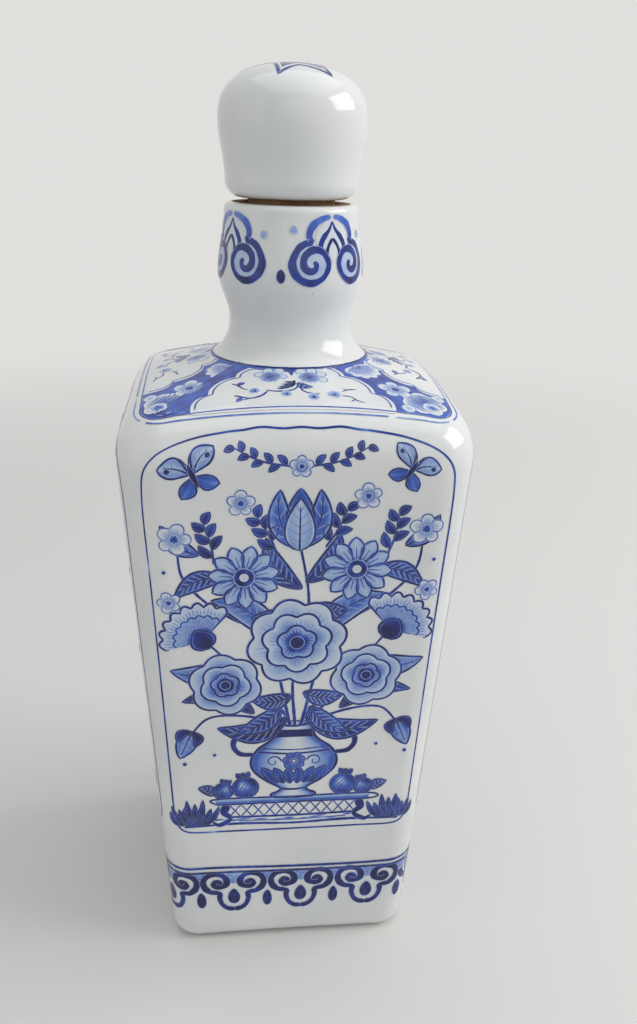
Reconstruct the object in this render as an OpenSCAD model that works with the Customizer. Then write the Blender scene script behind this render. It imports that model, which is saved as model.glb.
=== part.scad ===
// Square ceramic jug with a round neck and a corked knob for a stopper.
// The body is a square that widens towards the shoulder, with rounded corners.
// A low cone of a shoulder blends over its edge into the four flat walls.
// Z points up, the origin is the centre of the foot, and the front faces -Y.

/* [Body] */
// Width across the flats at the very bottom
base_w = 78; // [70:0.5:86]
// Width across the flats at the height of the shoulder
shoulder_w = 97; // [90:0.5:104]
// Height at which the shoulder width is measured
shoulder_z = 165; // [155:1:175]
// Corner radius at the bottom
base_corner_r = 8; // [6:0.5:11]
// Corner radius at the shoulder
shoulder_corner_r = 12.5; // [9:0.5:16]
// Radius of the rounded edge round the bottom
base_edge_r = 5.3; // [3:0.1:7]
// Thickness of the ceramic wall
wall_t = 4.5; // [3.5:0.1:5.5]
// Thickness of the floor above the hollow of the foot
floor_t = 5.5; // [4:0.1:8]

/* [Foot] */
// Width of the flat ring that the jug stands on
foot_ring_w = 4.5; // [3:0.1:7]
// Depth of the hollow inside the ring
foot_hollow_d = 2; // [1:0.1:3]

/* [Shoulder] */
// Slope of the shoulder, in degrees
shoulder_slope = 14.3; // [11:0.1:18]
// Height of wall that the rounded shoulder edge takes up
edge_drop = 12.4; // [9:0.1:15]
// Width of shoulder that the rounded shoulder edge takes up
edge_run = 11.8; // [9:0.1:15]

/* [Neck] */
// Height of the foot of the neck
neck_z = 192; // [185:1:200]
// Diameter at the foot of the neck
neck_foot_d = 46; // [43:0.5:49]
// Diameter of the waist
neck_waist_d = 35.5; // [34:0.1:37]
// Diameter of the bulge
neck_bulge_d = 41.8; // [39:0.1:44]
// Diameter just under the rim
neck_rim_d = 38.2; // [36.5:0.1:40]
// Height of the waist above the foot of the neck
waist_h = 10.6; // [9:0.1:12]
// Height of the bulge above the foot of the neck
bulge_h = 23.4; // [21:0.1:26]
// Height of the whole neck
neck_h = 42.5; // [40:0.5:46]
// Radius of the outer lip
lip_r = 1.8; // [1:0.1:2.5]
// Radius of the inner lip
mouth_r = 1; // [0.5:0.1:1.5]

/* [Stopper] */
// Largest diameter of the knob
knob_d = 41.1; // [38:0.1:44]
// Diameter of the knob just above its bottom edge
knob_low_d = 37.4; // [35:0.1:39]
// Height of the knob
knob_h = 34.3; // [31:0.1:37.5]
// Height at which the knob is widest
knob_wide_h = 20.3; // [18:0.1:22.5]
// Radius of the knob's bottom edge
knob_edge_r = 4.5; // [3:0.1:5]
// Gap between the rim and the knob
knob_gap = 1.2; // [0.8:0.1:2.5]

/* [Cork] */
// Diameter of the cork where it enters the mouth
cork_d = 24.6; // [23:0.1:26]
// Diameter of the cork at its lower end
cork_end_d = 22.6; // [21:0.1:23.5]
// Length of cork inside the neck
cork_depth = 25; // [20:0.5:30]
// Length of cork inside the knob
cork_grip = 10; // [8:0.5:13]
// Rounding of the cork's lower edge
cork_edge_r = 1; // [0.5:0.1:1.5]

/* [Clearances] */
// Gap between the cork and the bore, on each side
cork_clear = 0.3; // [0.25:0.05:0.5]
// Layer of glue between the cork and the knob, on each side
glue_clear = 0.15; // [0.1:0.05:0.3]

/* [Hidden] */

glaze = [0.88, 0.91, 0.95];
cork_colour = [0.52, 0.33, 0.18];

neck_foot_r = neck_foot_d / 2;
neck_waist_r = neck_waist_d / 2;
neck_bulge_r = neck_bulge_d / 2;
neck_rim_r = neck_rim_d / 2;
rim_z = neck_z + neck_h;
knob_z = rim_z + knob_gap;
floor_z = foot_hollow_d + floor_t;
cork_r = cork_d / 2;
cork_end_r = cork_end_d / 2;
cork_end_z = rim_z - cork_depth;

// Overrun of every cut
over = 1;
// Ledge under the bore
seat_w = 0.5;
// Smallest corner inside the wall
inner_corner_r = 3;
// Rounding of the floor's edge inside
inner_edge_r = 4;
// Height of the flare where the bore opens into the body
throat_h = 5;
// How much wider than the bore that flare is
throat_w = 4;

// How sharply the flare at the foot of the neck closes
flare_power = 2.5;
// How square the top of the knob is: 2 is an ellipse
crown_power = 2.4;
// How full the rounded shoulder edge is: 0 is a chamfer
edge_fullness_share = 0.62;

// Directions of the meridians in a quarter turn, closest together on the corner
quarter_turn = 90;
direction_shares = [0, 0.1, 0.2, 0.3, 0.38, 0.42, 0.45, 0.475,
                    0.5, 0.525, 0.55, 0.58, 0.62, 0.7, 0.8, 0.9];
directions = [for (q = [0:3]) for (s = direction_shares) (q + s) * quarter_turn];
crest_steps = 6;

// Rows of points on the floor's edge, the wall, the shoulder's edge and the shoulder
outer_rows = [4, 3, 6, 2];
inner_rows = [3, 2, 4, 2];
neck_rows = 6;
lip_rows = 3;
throat_rows = 4;
curve_steps = 8;
$fn = 96;

function lerp(a, b, t) = a + (b - a) * t;
function ease(t) = t * t * (3 - 2 * t);

// A curve from a to b that leaves and arrives along the lines through the crest
function blend(a, crest, b, t) =
    let (p = lerp(a, crest, edge_fullness_share), q = lerp(b, crest, edge_fullness_share), s = 1 - t)
    s * s * s * a + 3 * s * s * t * p + 3 * s * t * t * q + t * t * t * b;

// Half the width across the flats at height z, less the inset
function half_w(z, inset) = lerp(base_w, shoulder_w, z / shoulder_z) / 2 - inset;
function corner_r(z, inset) =
    max(lerp(base_corner_r, shoulder_corner_r, z / shoulder_z) - inset, inner_corner_r);

// Distance from the axis to the side of a rounded square, in one direction
function side_rho(w, r, direction) =
    let (far = max(abs(cos(direction)), abs(sin(direction))),
         near = min(abs(cos(direction)), abs(sin(direction))),
         flat = w - r,
         across = flat * (far + near))
    near / far * w <= flat ? w / far
        : across + sqrt(max(across * across - 2 * flat * flat + r * r, 0));
function wall_rho(direction, z, inset) = side_rho(half_w(z, inset), corner_r(z, inset), direction);

// Height of the sloping shoulder at a distance from the axis
function slope_z(rho, inset) =
    neck_z + (neck_foot_r - rho) * tan(shoulder_slope) - inset / cos(shoulder_slope);

// Height at which the wall and the shoulder would meet in one direction
function crest_z(direction, z, inset, steps) =
    steps == 0 ? z
        : crest_z(direction, slope_z(wall_rho(direction, z, inset), inset), inset, steps - 1);

// One meridian of the outside or the inside, from its bottom edge to the shoulder at end_rho
function body_line(direction, inset, low_z, edge_r, end_rho, rows) =
    let (top_z = crest_z(direction, shoulder_z, inset, crest_steps),
         crest = [wall_rho(direction, top_z, inset), top_z],
         wall_z = top_z - edge_drop + inset,
         wall_end = [wall_rho(direction, wall_z, inset), wall_z],
         slope_rho = crest[0] - edge_run + inset,
         slope_start = [slope_rho, slope_z(slope_rho, inset)])
    concat(
        [for (i = [0:rows[0]])
            let (turn = quarter_turn * i / rows[0], z = low_z + edge_r * (1 - cos(turn)))
            [wall_rho(direction, z, inset) - edge_r * (1 - sin(turn)), z]],
        [for (i = [1:rows[1]])
            let (z = lerp(low_z + edge_r, wall_z, i / rows[1]))
            [wall_rho(direction, z, inset), z]],
        [for (i = [1:rows[2]]) blend(wall_end, crest, slope_start, i / rows[2])],
        [for (i = [1:rows[3]])
            let (rho = lerp(slope_rho, end_rho, i / rows[3]))
            [rho, slope_z(rho, inset)]]);

// Radius of the neck at a height above its foot
function neck_rho(h) =
    h < waist_h ? lerp(neck_waist_r, neck_foot_r, pow(1 - h / waist_h, flare_power))
        : h < bulge_h ? lerp(neck_waist_r, neck_bulge_r, ease((h - waist_h) / (bulge_h - waist_h)))
        : lerp(neck_bulge_r, neck_rim_r, ease((h - bulge_h) / (neck_h - lip_r - bulge_h)));

// Radius of the tapered bore that the cork sits in
function bore_rho(z) = lerp(cork_r, cork_end_r, (rim_z - z) / cork_depth) + cork_clear;

bore_end_r = bore_rho(cork_end_z);
throat_end_r = bore_end_r + throat_w;
throat_top_z = slope_z(bore_end_r, wall_t) + throat_h;

// The neck's outside and its rounded rim
neck_stops = [0, waist_h, bulge_h, neck_h - lip_r];
neck_line = concat(
    [for (s = [0:2]) for (i = [1:neck_rows])
        let (h = lerp(neck_stops[s], neck_stops[s + 1], i / neck_rows))
        [neck_rho(h), neck_z + h]],
    [for (i = [1:lip_rows])
        let (turn = quarter_turn * i / lip_rows)
        [neck_rim_r - lip_r * (1 - cos(turn)), rim_z - lip_r * (1 - sin(turn))]]);

// Where the wall turns over at the rim, and the flared throat under the bore
bore_line = concat(
    [[bore_end_r - seat_w, rim_z]],
    [for (i = [0:throat_rows - 1])
        let (t = i / throat_rows)
        [bore_end_r - seat_w + (throat_w + seat_w) * pow(t, flare_power),
         lerp(throat_top_z, slope_z(throat_end_r, wall_t), t)]]);

// The bore that the cork sits in, with its rounded mouth
module neck_bore() {
    mouth = bore_rho(rim_z - mouth_r) + mouth_r;
    lip = [for (i = [0:curve_steps])
        let (turn = quarter_turn * i / curve_steps)
        [mouth - mouth_r * sin(turn), rim_z - mouth_r * (1 - cos(turn))]];
    rotate_extrude() polygon(concat(
        [[0, rim_z + over], [mouth, rim_z + over]], lip,
        [[bore_end_r, cork_end_z], [bore_end_r, throat_top_z + throat_h], [0, throat_top_z + throat_h]]));
}

// One meridian of the whole wall: under the foot, up the outside, over the rim and down the inside
function wall_line(direction) =
    let (inside = body_line(direction, wall_t, floor_z, inner_edge_r, throat_end_r, inner_rows))
    concat(
        body_line(direction, 0, 0, base_edge_r, neck_foot_r, outer_rows),
        neck_line,
        bore_line,
        [for (i = [len(inside) - 1:-1:0]) inside[i]]);

// Closed solid through the same number of points on every meridian
module lofted(lines) {
    n = len(lines);
    rows = len(lines[0]);
    points = [for (j = [0:rows - 1]) for (i = [0:n - 1])
        [lines[i][j][0] * cos(directions[i]), lines[i][j][0] * sin(directions[i]), lines[i][j][1]]];
    sides = [for (j = [0:rows - 2]) for (i = [0:n - 1]) for (half = [0, 1])
        let (k = (i + 1) % n, low = j * n, high = low + n)
        half == 0 ? [low + i, high + i, high + k] : [low + i, high + k, low + k]];
    first_face = [for (i = [0:n - 1]) i];
    last_face = [for (i = [n - 1:-1:0]) (rows - 1) * n + i];
    polyhedron(points, concat([first_face], sides, [last_face]));
}

// The hollow under the foot, which leaves the flat ring round it
module foot_hollow() {
    w = half_w(0, base_edge_r + foot_ring_w);
    r = max(base_corner_r - base_edge_r, inner_corner_r);
    translate([0, 0, -over])
        linear_extrude(foot_hollow_d + over)
            polygon([for (d = directions) side_rho(w, r, d) * [cos(d), sin(d)]]);
}

module bottle() {
    color(glaze)
        difference() {
            lofted([for (d = directions) wall_line(d)]);
            neck_bore();
            foot_hollow();
        }
}

// The knob is drawn in towards the mouth, with a soft crown on top
module stopper_head() {
    knob_r = knob_d / 2;
    low_r = knob_low_d / 2;
    socket_r = cork_r + glue_clear;
    edge = [for (i = [0:curve_steps])
        let (turn = quarter_turn * i / curve_steps)
        [low_r - knob_edge_r * (1 - sin(turn)), knob_z + knob_edge_r * (1 - cos(turn))]];
    side = [for (i = [1:curve_steps])
        let (t = i / curve_steps)
        [lerp(low_r, knob_r, ease(t)), knob_z + lerp(knob_edge_r, knob_wide_h, t)]];
    crown = [for (i = [1:2 * curve_steps])
        let (turn = quarter_turn * i / (2 * curve_steps), power = 2 / crown_power)
        [i == 2 * curve_steps ? 0 : knob_r * pow(cos(turn), power),
         knob_z + knob_wide_h + (knob_h - knob_wide_h) * pow(sin(turn), power)]];
    color(glaze)
        rotate_extrude()
            polygon(concat([[0, knob_z + cork_grip], [socket_r, knob_z + cork_grip], [socket_r, knob_z]],
                edge, side, crown));
}

// The cork is straight where the knob holds it, and tapers inside the neck
module stopper_cork() {
    end = [for (i = [0:curve_steps])
        let (turn = quarter_turn * i / curve_steps)
        [cork_end_r - cork_edge_r * (1 - sin(turn)), cork_end_z + cork_edge_r * (1 - cos(turn))]];
    color(cork_colour)
        rotate_extrude()
            polygon(concat([[0, cork_end_z]], end,
                [[cork_r, rim_z], [cork_r, knob_z + cork_grip], [0, knob_z + cork_grip]]));
}

bottle();
stopper_head();
stopper_cork();
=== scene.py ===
import math

import bpy
import numpy as np
from mathutils import Matrix, Vector


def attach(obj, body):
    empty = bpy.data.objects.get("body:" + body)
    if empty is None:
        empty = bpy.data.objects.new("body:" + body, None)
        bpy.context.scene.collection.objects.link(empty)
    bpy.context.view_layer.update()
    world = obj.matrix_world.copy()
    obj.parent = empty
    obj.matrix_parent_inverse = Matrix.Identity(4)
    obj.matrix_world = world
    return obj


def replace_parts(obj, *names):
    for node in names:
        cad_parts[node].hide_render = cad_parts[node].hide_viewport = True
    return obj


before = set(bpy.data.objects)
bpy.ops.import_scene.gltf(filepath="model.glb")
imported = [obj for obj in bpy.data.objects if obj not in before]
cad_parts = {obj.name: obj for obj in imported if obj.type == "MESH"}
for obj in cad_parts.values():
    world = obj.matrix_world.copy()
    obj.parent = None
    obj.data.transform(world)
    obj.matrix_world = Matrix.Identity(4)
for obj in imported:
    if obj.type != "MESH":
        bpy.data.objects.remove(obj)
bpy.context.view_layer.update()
scene = bpy.context.scene
millimetre = 0.001
touch = 0.01  # millimetres within which a point counts as lying on a surface
halvings, crestRounds = 22, 6  # rounds of the two searches for a place on the shoulder

# sizes in millimetres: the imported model, less 0.15 on each outer side for the thickness of the painting
body = {"baseWidth": 77.7, "shoulderWidth": 96.7, "shoulderHeight": 165, "baseCorner": 8,
        "shoulderCorner": 12.5, "baseEdge": 5.3, "wall": 4.5, "floor": 7.5, "slope": 14.3, "edgeDrop": 12.4,
        "edgeRun": 11.8, "edgeFullness": 0.62, "ringWidth": 4.5, "ringRound": 0.5, "hollow": 2,
        "hollowCorner": 3, "innerCorner": 3, "innerEdge": 4, "columnsPerSide": 56, "crowding": 0.11,
        "wallRows": 40, "edgeRows": 28, "slopeRows": 14}
neck = {"foot": 23, "waist": 17.75, "bulge": 20.9, "rim": 19.1, "bottom": 192, "waistHeight": 10.6,
        "bulgeHeight": 23.4, "height": 42.5, "flare": 2.5, "lip": 1.8, "mouthLip": 1, "bore": 12.6,
        "boreEnd": 11.6, "boreDepth": 25, "throat": 4, "throatHeight": 5, "footBlend": 1.7, "wiped": 16.8,
        "wipedStep": 0.12, "rows": 55, "footRows": 24}
knob = {"radius": 20.55, "lowRadius": 18.7, "bottom": 235.7, "height": 34.15, "wideHeight": 20.2, "edge": 4.5,
        "crown": 2.4, "socket": 12.45, "socketDepth": 10, "bareHeight": 0.3, "columns": 160, "sideRows": 20,
        "crownRows": 48}
cork = {"radius": 12.3, "endRadius": 11.3, "bottom": 209.5, "straightFrom": 234.5, "top": 245.7, "edge": 1,
        "columns": 96}


def lerp(a, b, t):
    return a + (b - a) * t


def ease(t):
    return t * t * (3 - 2 * t)


# even shares from 0 to 1, without 0
def stepsTo(count):
    return np.linspace(0, 1, count + 1)[1:]


def quarterArc(steps):
    return np.linspace(0, math.pi / 2, steps + 1)


# half the width across the flats, which grows evenly with the height
def halfWidth(z, inset=0):
    return lerp(body["baseWidth"], body["shoulderWidth"], z / body["shoulderHeight"]) / 2 - inset


def cornerRadius(z, inset=0):
    radius = lerp(body["baseCorner"], body["shoulderCorner"], z / body["shoulderHeight"]) - inset
    return np.maximum(radius, body["innerCorner"])


# distance from the axis to a square with round corners, in the direction turn:
# width / cos on the flats, and the far crossing with the corner's circle on the corners
def squareDistance(width, radius, turn):
    c, s = np.abs(np.cos(turn)), np.abs(np.sin(turn))
    far, near = np.maximum(c, s), np.minimum(c, s)
    flat = width - radius
    along = flat * (far + near)
    corner = along + np.sqrt(np.maximum(along ** 2 - 2 * flat ** 2 + radius ** 2, 0))
    return np.where(near / far * width <= flat, width / far, corner)


def wallDistance(turn, z, inset=0):
    return squareDistance(halfWidth(z, inset), cornerRadius(z, inset), turn)


# the shoulder is a straight slope outward from the foot of the neck
def slopeHeight(rho, inset=0):
    slope = math.radians(body["slope"])
    return neck["bottom"] + (neck["foot"] - rho) * math.tan(slope) - inset / math.cos(slope)


# wall end, crest and slope start of the rounded shoulder edge, each as distance and height;
# the crest is where the wall meets the slope, found by going to and fro between them
def shoulderEdge(turn, inset=0):
    z = np.full_like(turn, body["shoulderHeight"])
    for step in range(crestRounds):
        z = slopeHeight(wallDistance(turn, z, inset), inset)
    rho = wallDistance(turn, z, inset)
    wallZ = z - body["edgeDrop"] + inset
    slopeRho = rho - body["edgeRun"] + inset
    return (wallDistance(turn, wallZ, inset), wallZ), (rho, z), (slopeRho, slopeHeight(slopeRho, inset))


# distance (axis 0) or height (axis 1) on the edge: a cubic curve from a to b whose ends point at the crest
def edgeCurve(edge, axis, t):
    a, crest, b = (point[axis] for point in edge)
    p, q, s = lerp(a, crest, body["edgeFullness"]), lerp(b, crest, body["edgeFullness"]), 1 - t
    return s ** 3 * a + 3 * s * s * t * p + 3 * s * t * t * q + t ** 3 * b


# the largest share from 0 to 1 at which a test still holds, found by halving
def lastShare(holds, shape):
    low, high = np.zeros(shape), np.ones(shape)
    for step in range(halvings):
        middle = (low + high) / 2
        low, high = np.where(holds(middle), middle, low), np.where(holds(middle), high, middle)
    return low


# neck radius: a power flare down to the waist, then eased out to the bulge and in to the rim
def neckRadius(h):
    waist, bulge, top = neck["waistHeight"], neck["bulgeHeight"], neck["height"] - neck["lip"]
    low = lerp(neck["waist"], neck["foot"], np.clip(1 - h / waist, 0, 1) ** neck["flare"])
    middle = lerp(neck["waist"], neck["bulge"], ease(np.clip((h - waist) / (bulge - waist), 0, 1)))
    high = lerp(neck["bulge"], neck["rim"], ease(np.clip((h - bulge) / (top - bulge), 0, 1)))
    lip = neck["lip"] * (1 - np.sqrt(1 - np.clip((h - top) / neck["lip"], 0, 1) ** 2))
    return np.where(h < waist, low, np.where(h < bulge, middle, high)) - lip


# soft hollow where the shoulder turns into the neck: a quadratic curve round their meeting point
def neckFootCurve():
    t = np.linspace(0, 1, neck["footRows"] + 1)
    outer = neck["foot"] + neck["footBlend"]
    inner = float(neckRadius(np.array(neck["footBlend"])))
    rho = (1 - t) ** 2 * outer + 2 * t * (1 - t) * neck["foot"] + t * t * inner
    z = ((1 - t) ** 2 * slopeHeight(outer) + 2 * t * (1 - t) * neck["bottom"]
         + t * t * (neck["bottom"] + neck["footBlend"]))
    return rho, z


footRho, footZ = neckFootCurve()


# height of the top of the jug over a plan point, on the edge, the slope or the foot of the neck
def topHeight(x, y):
    rho = np.hypot(x, y)
    edge = shoulderEdge(np.arctan2(y, x))
    share = lastShare(lambda t: edgeCurve(edge, 0, t) > rho, rho.shape)
    slope = np.where(rho > footRho[0], slopeHeight(rho), np.interp(rho, footRho[::-1], footZ[::-1]))
    return np.where(rho < edge[2][0], slope, edgeCurve(edge, 1, share))


# distance from the axis at a height, in the direction turn, on the wall or on the shoulder's edge
def sideDistance(turn, z):
    edge = shoulderEdge(turn)
    share = lastShare(lambda t: edgeCurve(edge, 1, t) < z, turn.shape)
    bottom = np.clip(1 - z / body["baseEdge"], 0, 1)
    wall = wallDistance(turn, z) - body["baseEdge"] * (1 - np.sqrt(1 - bottom ** 2))
    return np.where(z > edge[0][1], edgeCurve(edge, 0, share), wall)


# four drawing surfaces, each from two coordinates in millimetres or degrees to points in millimetres:
# the walls unrolled from the middle of the front, the top in plan, the neck unrolled, and the knob in plan
def wallPoint(p, z):
    width, radius = halfWidth(z), cornerRadius(z)
    flat, arc = width - radius, math.pi / 2 * radius
    face = np.floor((p + flat + arc / 2) / (2 * flat + arc))
    q = p - face * (2 * flat + arc)
    bend = np.clip((np.abs(q) - flat) / radius, 0, math.pi / 2)
    x = np.where(np.abs(q) <= flat, q, np.sign(q) * (flat + radius * np.sin(bend)))
    y = np.where(np.abs(q) <= flat, -width, -flat - radius * np.cos(bend))
    turn = np.arctan2(y, x) + face * math.pi / 2
    rho = sideDistance(turn, z)
    return np.stack([rho * np.cos(turn), rho * np.sin(turn), z + 0 * p], -1)


def topPoint(x, y):
    return np.stack([x, y, topHeight(x, y)], -1)


def neckPoint(angle, z):
    turn = np.radians(angle - 90)
    rho = neckRadius(z - neck["bottom"])
    return np.stack([rho * np.cos(turn), rho * np.sin(turn), z], -1)


def knobPoint(x, y):
    share = np.clip(np.hypot(x, y) / knob["radius"], 0, 1)
    rise = (1 - share ** knob["crown"]) ** (1 / knob["crown"])
    return np.stack([x, y, knob["bottom"] + lerp(knob["wideHeight"], knob["height"], rise)], -1)


# directions of the columns round the jug, closest together on the corners
def roundDirections(count):
    u = np.arange(count) / count
    quarter = u + body["crowding"] * np.sin(2 * math.pi * u)
    return np.concatenate([(side + quarter) * math.pi / 2 for side in range(4)])


# rounded lower edge of a turned or square side: a quarter circle up from the flat below
def lowerEdge(side, bottom, radius, steps):
    rows = []
    for a in quarterArc(steps):
        z = bottom + radius * (1 - math.cos(a))
        rows.append((side(z) - radius * (1 - math.sin(a)), z))
    return rows


# closed surface through rows of (distance, height) round the axis, with one point at each end;
# bare says from distance and height where the surface has no glaze
def closedSurface(name, turn, rows, bottomZ, topZ, bare=None):
    rho, z = (np.array([np.broadcast_to(row[axis], turn.shape) for row in rows]) for axis in (0, 1))
    ring = np.stack([rho * np.cos(turn), rho * np.sin(turn), z], -1).reshape(-1, 3)
    points = np.vstack([ring, [[0, 0, bottomZ], [0, 0, topZ]]])
    count, last = len(turn), len(ring) - len(turn)
    column = np.arange(count)
    beside = (column + 1) % count
    start = (np.arange(len(rows) - 1) * count)[:, None]
    quads = np.stack([start + column, start + beside, start + beside + count, start + column + count], -1)
    low = np.stack([beside, column, np.full(count, len(ring))], -1)
    high = np.stack([last + column, last + beside, np.full(count, len(ring) + 1)], -1)
    mesh = bpy.data.meshes.new(name)
    faces = quads.reshape(-1, 4).tolist() + low.tolist() + high.tolist()
    mesh.from_pydata((points * millimetre).tolist(), [], faces)
    mesh.shade_smooth()
    if bare:
        unglazed = bare(np.hypot(points[:, 0], points[:, 1]), points[:, 2])
        mesh.attributes.new("bare", "FLOAT", "POINT").data.foreach_set("value", unglazed.astype(float))
    mesh.update()
    piece = bpy.data.objects.new(name, mesh)
    scene.collection.objects.link(piece)
    return piece


# the jug's outside from the hollow of the foot up to the shoulder
def outerRows(turn):
    hollowWidth = body["baseWidth"] / 2 - body["baseEdge"] - body["ringWidth"]
    hollow = squareDistance(hollowWidth, body["hollowCorner"], turn)
    edge = shoulderEdge(turn)
    rows = [(hollow * share, body["hollow"]) for share in (0.3, 0.6, 0.9, 0.97, 1)]
    rows += [(hollow, 0.8 * body["hollow"])]
    ring = body["ringRound"]
    rows += [(hollow + ring * out, ring * up) for out, up in ((0, 1), (0.3, 0.3), (1, 0))]
    rows += lowerEdge(lambda z: wallDistance(turn, z), 0, body["baseEdge"], 10)
    for t in stepsTo(body["wallRows"]):
        z = lerp(body["baseEdge"], edge[0][1], t)
        rows.append((wallDistance(turn, z), z))
    rows += [(edgeCurve(edge, 0, t), edgeCurve(edge, 1, t)) for t in stepsTo(body["edgeRows"])]
    for t in stepsTo(body["slopeRows"])[:-1]:
        rho = lerp(edge[2][0], footRho[0], t)
        rows.append((rho, slopeHeight(rho)))
    return rows + list(zip(footRho[::3], footZ[::3]))


# neck, rounded rim, mouth and tapering bore
def neckRows(rim, mouth):
    rows = []
    for h in lerp(neck["footBlend"], neck["height"] - neck["lip"], stepsTo(neck["rows"])):
        rows.append((float(neckRadius(np.array(h))), neck["bottom"] + h))
    for a in quarterArc(8)[1:]:
        rows.append((neck["rim"] - neck["lip"] * (1 - math.cos(a)), rim - neck["lip"] * (1 - math.sin(a))))
    rows += [(neck["wiped"] + neck["wipedStep"], rim), (neck["wiped"], rim)]
    for a in quarterArc(6):
        rows.append((mouth - neck["mouthLip"] * math.sin(a), rim - neck["mouthLip"] * (1 - math.cos(a))))
    for t in stepsTo(4):
        depth = lerp(neck["mouthLip"], neck["boreDepth"], t)
        rows.append((lerp(neck["bore"], neck["boreEnd"], t), rim - depth))
    return rows


# the room inside, from the throat under the bore out over the slope and down to the floor
def innerRows(turn, throatTop):
    wall, rows = body["wall"], []
    edge = shoulderEdge(turn, wall)
    throatEnd = neck["boreEnd"] + neck["throat"]
    for t in np.linspace(0, 1, 9):
        widening = neck["throat"] * t ** neck["flare"]
        rows.append((neck["boreEnd"] + widening, lerp(throatTop, slopeHeight(throatEnd, wall), t)))
    for t in (0.3, 0.65):
        rho = lerp(throatEnd, edge[2][0], t)
        rows.append((rho, slopeHeight(rho, wall)))
    rows += [(edgeCurve(edge, 0, t), edgeCurve(edge, 1, t)) for t in np.linspace(1, 0, 10)]
    for t in stepsTo(13)[:-1]:
        z = lerp(edge[0][1], body["floor"] + body["innerEdge"], t)
        rows.append((wallDistance(turn, z, wall), z))
    rows += lowerEdge(lambda z: wallDistance(turn, z, wall), body["floor"], body["innerEdge"], 6)[::-1]
    return rows + [(rows[-1][0] * share, body["floor"]) for share in (0.7, 0.35)]


# the whole jug as one closed wall, bare on the wiped rim, in the bore and on the ring on which it stands
def buildBottle():
    turn = roundDirections(body["columnsPerSide"])
    rim, mouth = neck["bottom"] + neck["height"], neck["bore"] + neck["mouthLip"]
    throatTop = slopeHeight(neck["boreEnd"], body["wall"]) + neck["throatHeight"]

    def bare(rho, z):
        wiped = (z > rim - touch) & (rho < neck["wiped"] + touch)
        bore = (z > throatTop - touch) & (rho < mouth + touch)
        return wiped | bore | (z < touch)

    rows = outerRows(turn) + neckRows(rim, mouth) + innerRows(turn, throatTop)
    return closedSurface("bottleGlaze", turn, rows, body["hollow"], body["floor"], bare)


print("stage: surfaces ready")


# sets a node's inputs: an output socket is linked to the input, anything else becomes its own value
def feed(node, values):
    for name, value in values.items():
        if isinstance(value, bpy.types.NodeSocket):
            node.id_data.links.new(value, node.inputs[name])
        else:
            node.inputs[name].default_value = value


def addNode(tree, kind, at, values={}, **settings):
    node = tree.nodes.new("ShaderNode" + kind)
    node.location = at
    for name, value in settings.items():
        setattr(node, name, value)
    feed(node, values)
    return node


# short forms of the nodes that come up often, each giving its output
def objectPlace(tree, at=(-900, -250)):
    return addNode(tree, "TexCoord", at).outputs["Object"]


def noise(tree, at, place, scale, detail, roughness=0.5):
    values = {"Vector": place, "Scale": scale, "Detail": detail, "Roughness": roughness}
    return addNode(tree, "TexNoise", at, values).outputs["Fac"]


def remap(tree, at, value, source, target=(0, 1), **settings):
    values = {"Value": value, "From Min": source[0], "From Max": source[1], "To Min": target[0],
              "To Max": target[1]}
    return addNode(tree, "MapRange", at, values, **settings).outputs["Result"]


def calculate(tree, at, operation, a, b):
    return addNode(tree, "Math", at, {0: a, 1: b}, operation=operation).outputs["Value"]


def mixColours(tree, at, share, a, b):
    return addNode(tree, "Mix", at, {"Factor": share, "A": a, "B": b}, data_type="RGBA").outputs["Result"]


def colourRamp(tree, at, value, stops):
    node = addNode(tree, "ValToRGB", at, {"Fac": value})
    elements = node.color_ramp.elements
    while len(elements) < len(stops):
        elements.new(0.5)
    for element, (place, colour) in zip(elements, stops):
        element.position, element.color = place, (*colour, 1)
    return node.outputs["Color"]


# a node group with its named inputs, and outputs that closeGroup links
def openGroup(name, **inputs):
    group = bpy.data.node_groups.new(name, "ShaderNodeTree")
    for label, value in inputs.items():
        kind = "NodeSocketColor" if isinstance(value, tuple) else "NodeSocketFloat"
        socket = group.interface.new_socket(name=label, in_out="INPUT", socket_type=kind)
        socket.default_value = (*value, 1) if isinstance(value, tuple) else value
    given = group.nodes.new("NodeGroupInput")
    given.location = (-900, 0)
    return group, given.outputs


def closeGroup(group, **outputs):
    for label in outputs:
        kind = "NodeSocketColor" if label == "Color" else "NodeSocketFloat"
        group.interface.new_socket(name=label, in_out="OUTPUT", socket_type=kind)
    result = group.nodes.new("NodeGroupOutput")
    result.location = (700, 0)
    feed(result, outputs)
    return group


glaze = {"white": (0.76, 0.775, 0.765), "cool": (0.67, 0.70, 0.71), "cloudScale": 22, "cloudDetail": 3,
         "cloudRange": (0.35, 0.7), "speck": (0.5, 0.49, 0.47), "speckScale": 420, "speckShare": 0.005,
         "speckSize": 0.13, "roughness": (0.07, 0.14), "ior": 1.52, "wave": 0.00012, "waveScale": 38,
         "waveDetail": 1, "waveStrength": 0.35}
clay = {"browns": [(0.32, (0.24, 0.14, 0.08)), (0.6, (0.50, 0.36, 0.23))],
        "grainScale": 160, "grainDetail": 5, "roughness": 0.85}
ink = {"wash": (0.29, 0.43, 0.70), "middle": (0.034, 0.118, 0.52), "cobalt": (0.008, 0.028, 0.25),
       "navy": (0.003, 0.007, 0.085), "washTone": 0.25, "streak": 0.26, "streakRange": (0.6, 1.4),
       "streakScale": 260, "streakDetail": 4, "broadScale": 52, "broadDetail": 2, "middleTone": 0.5,
       "cobaltTone": 0.78}


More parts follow.
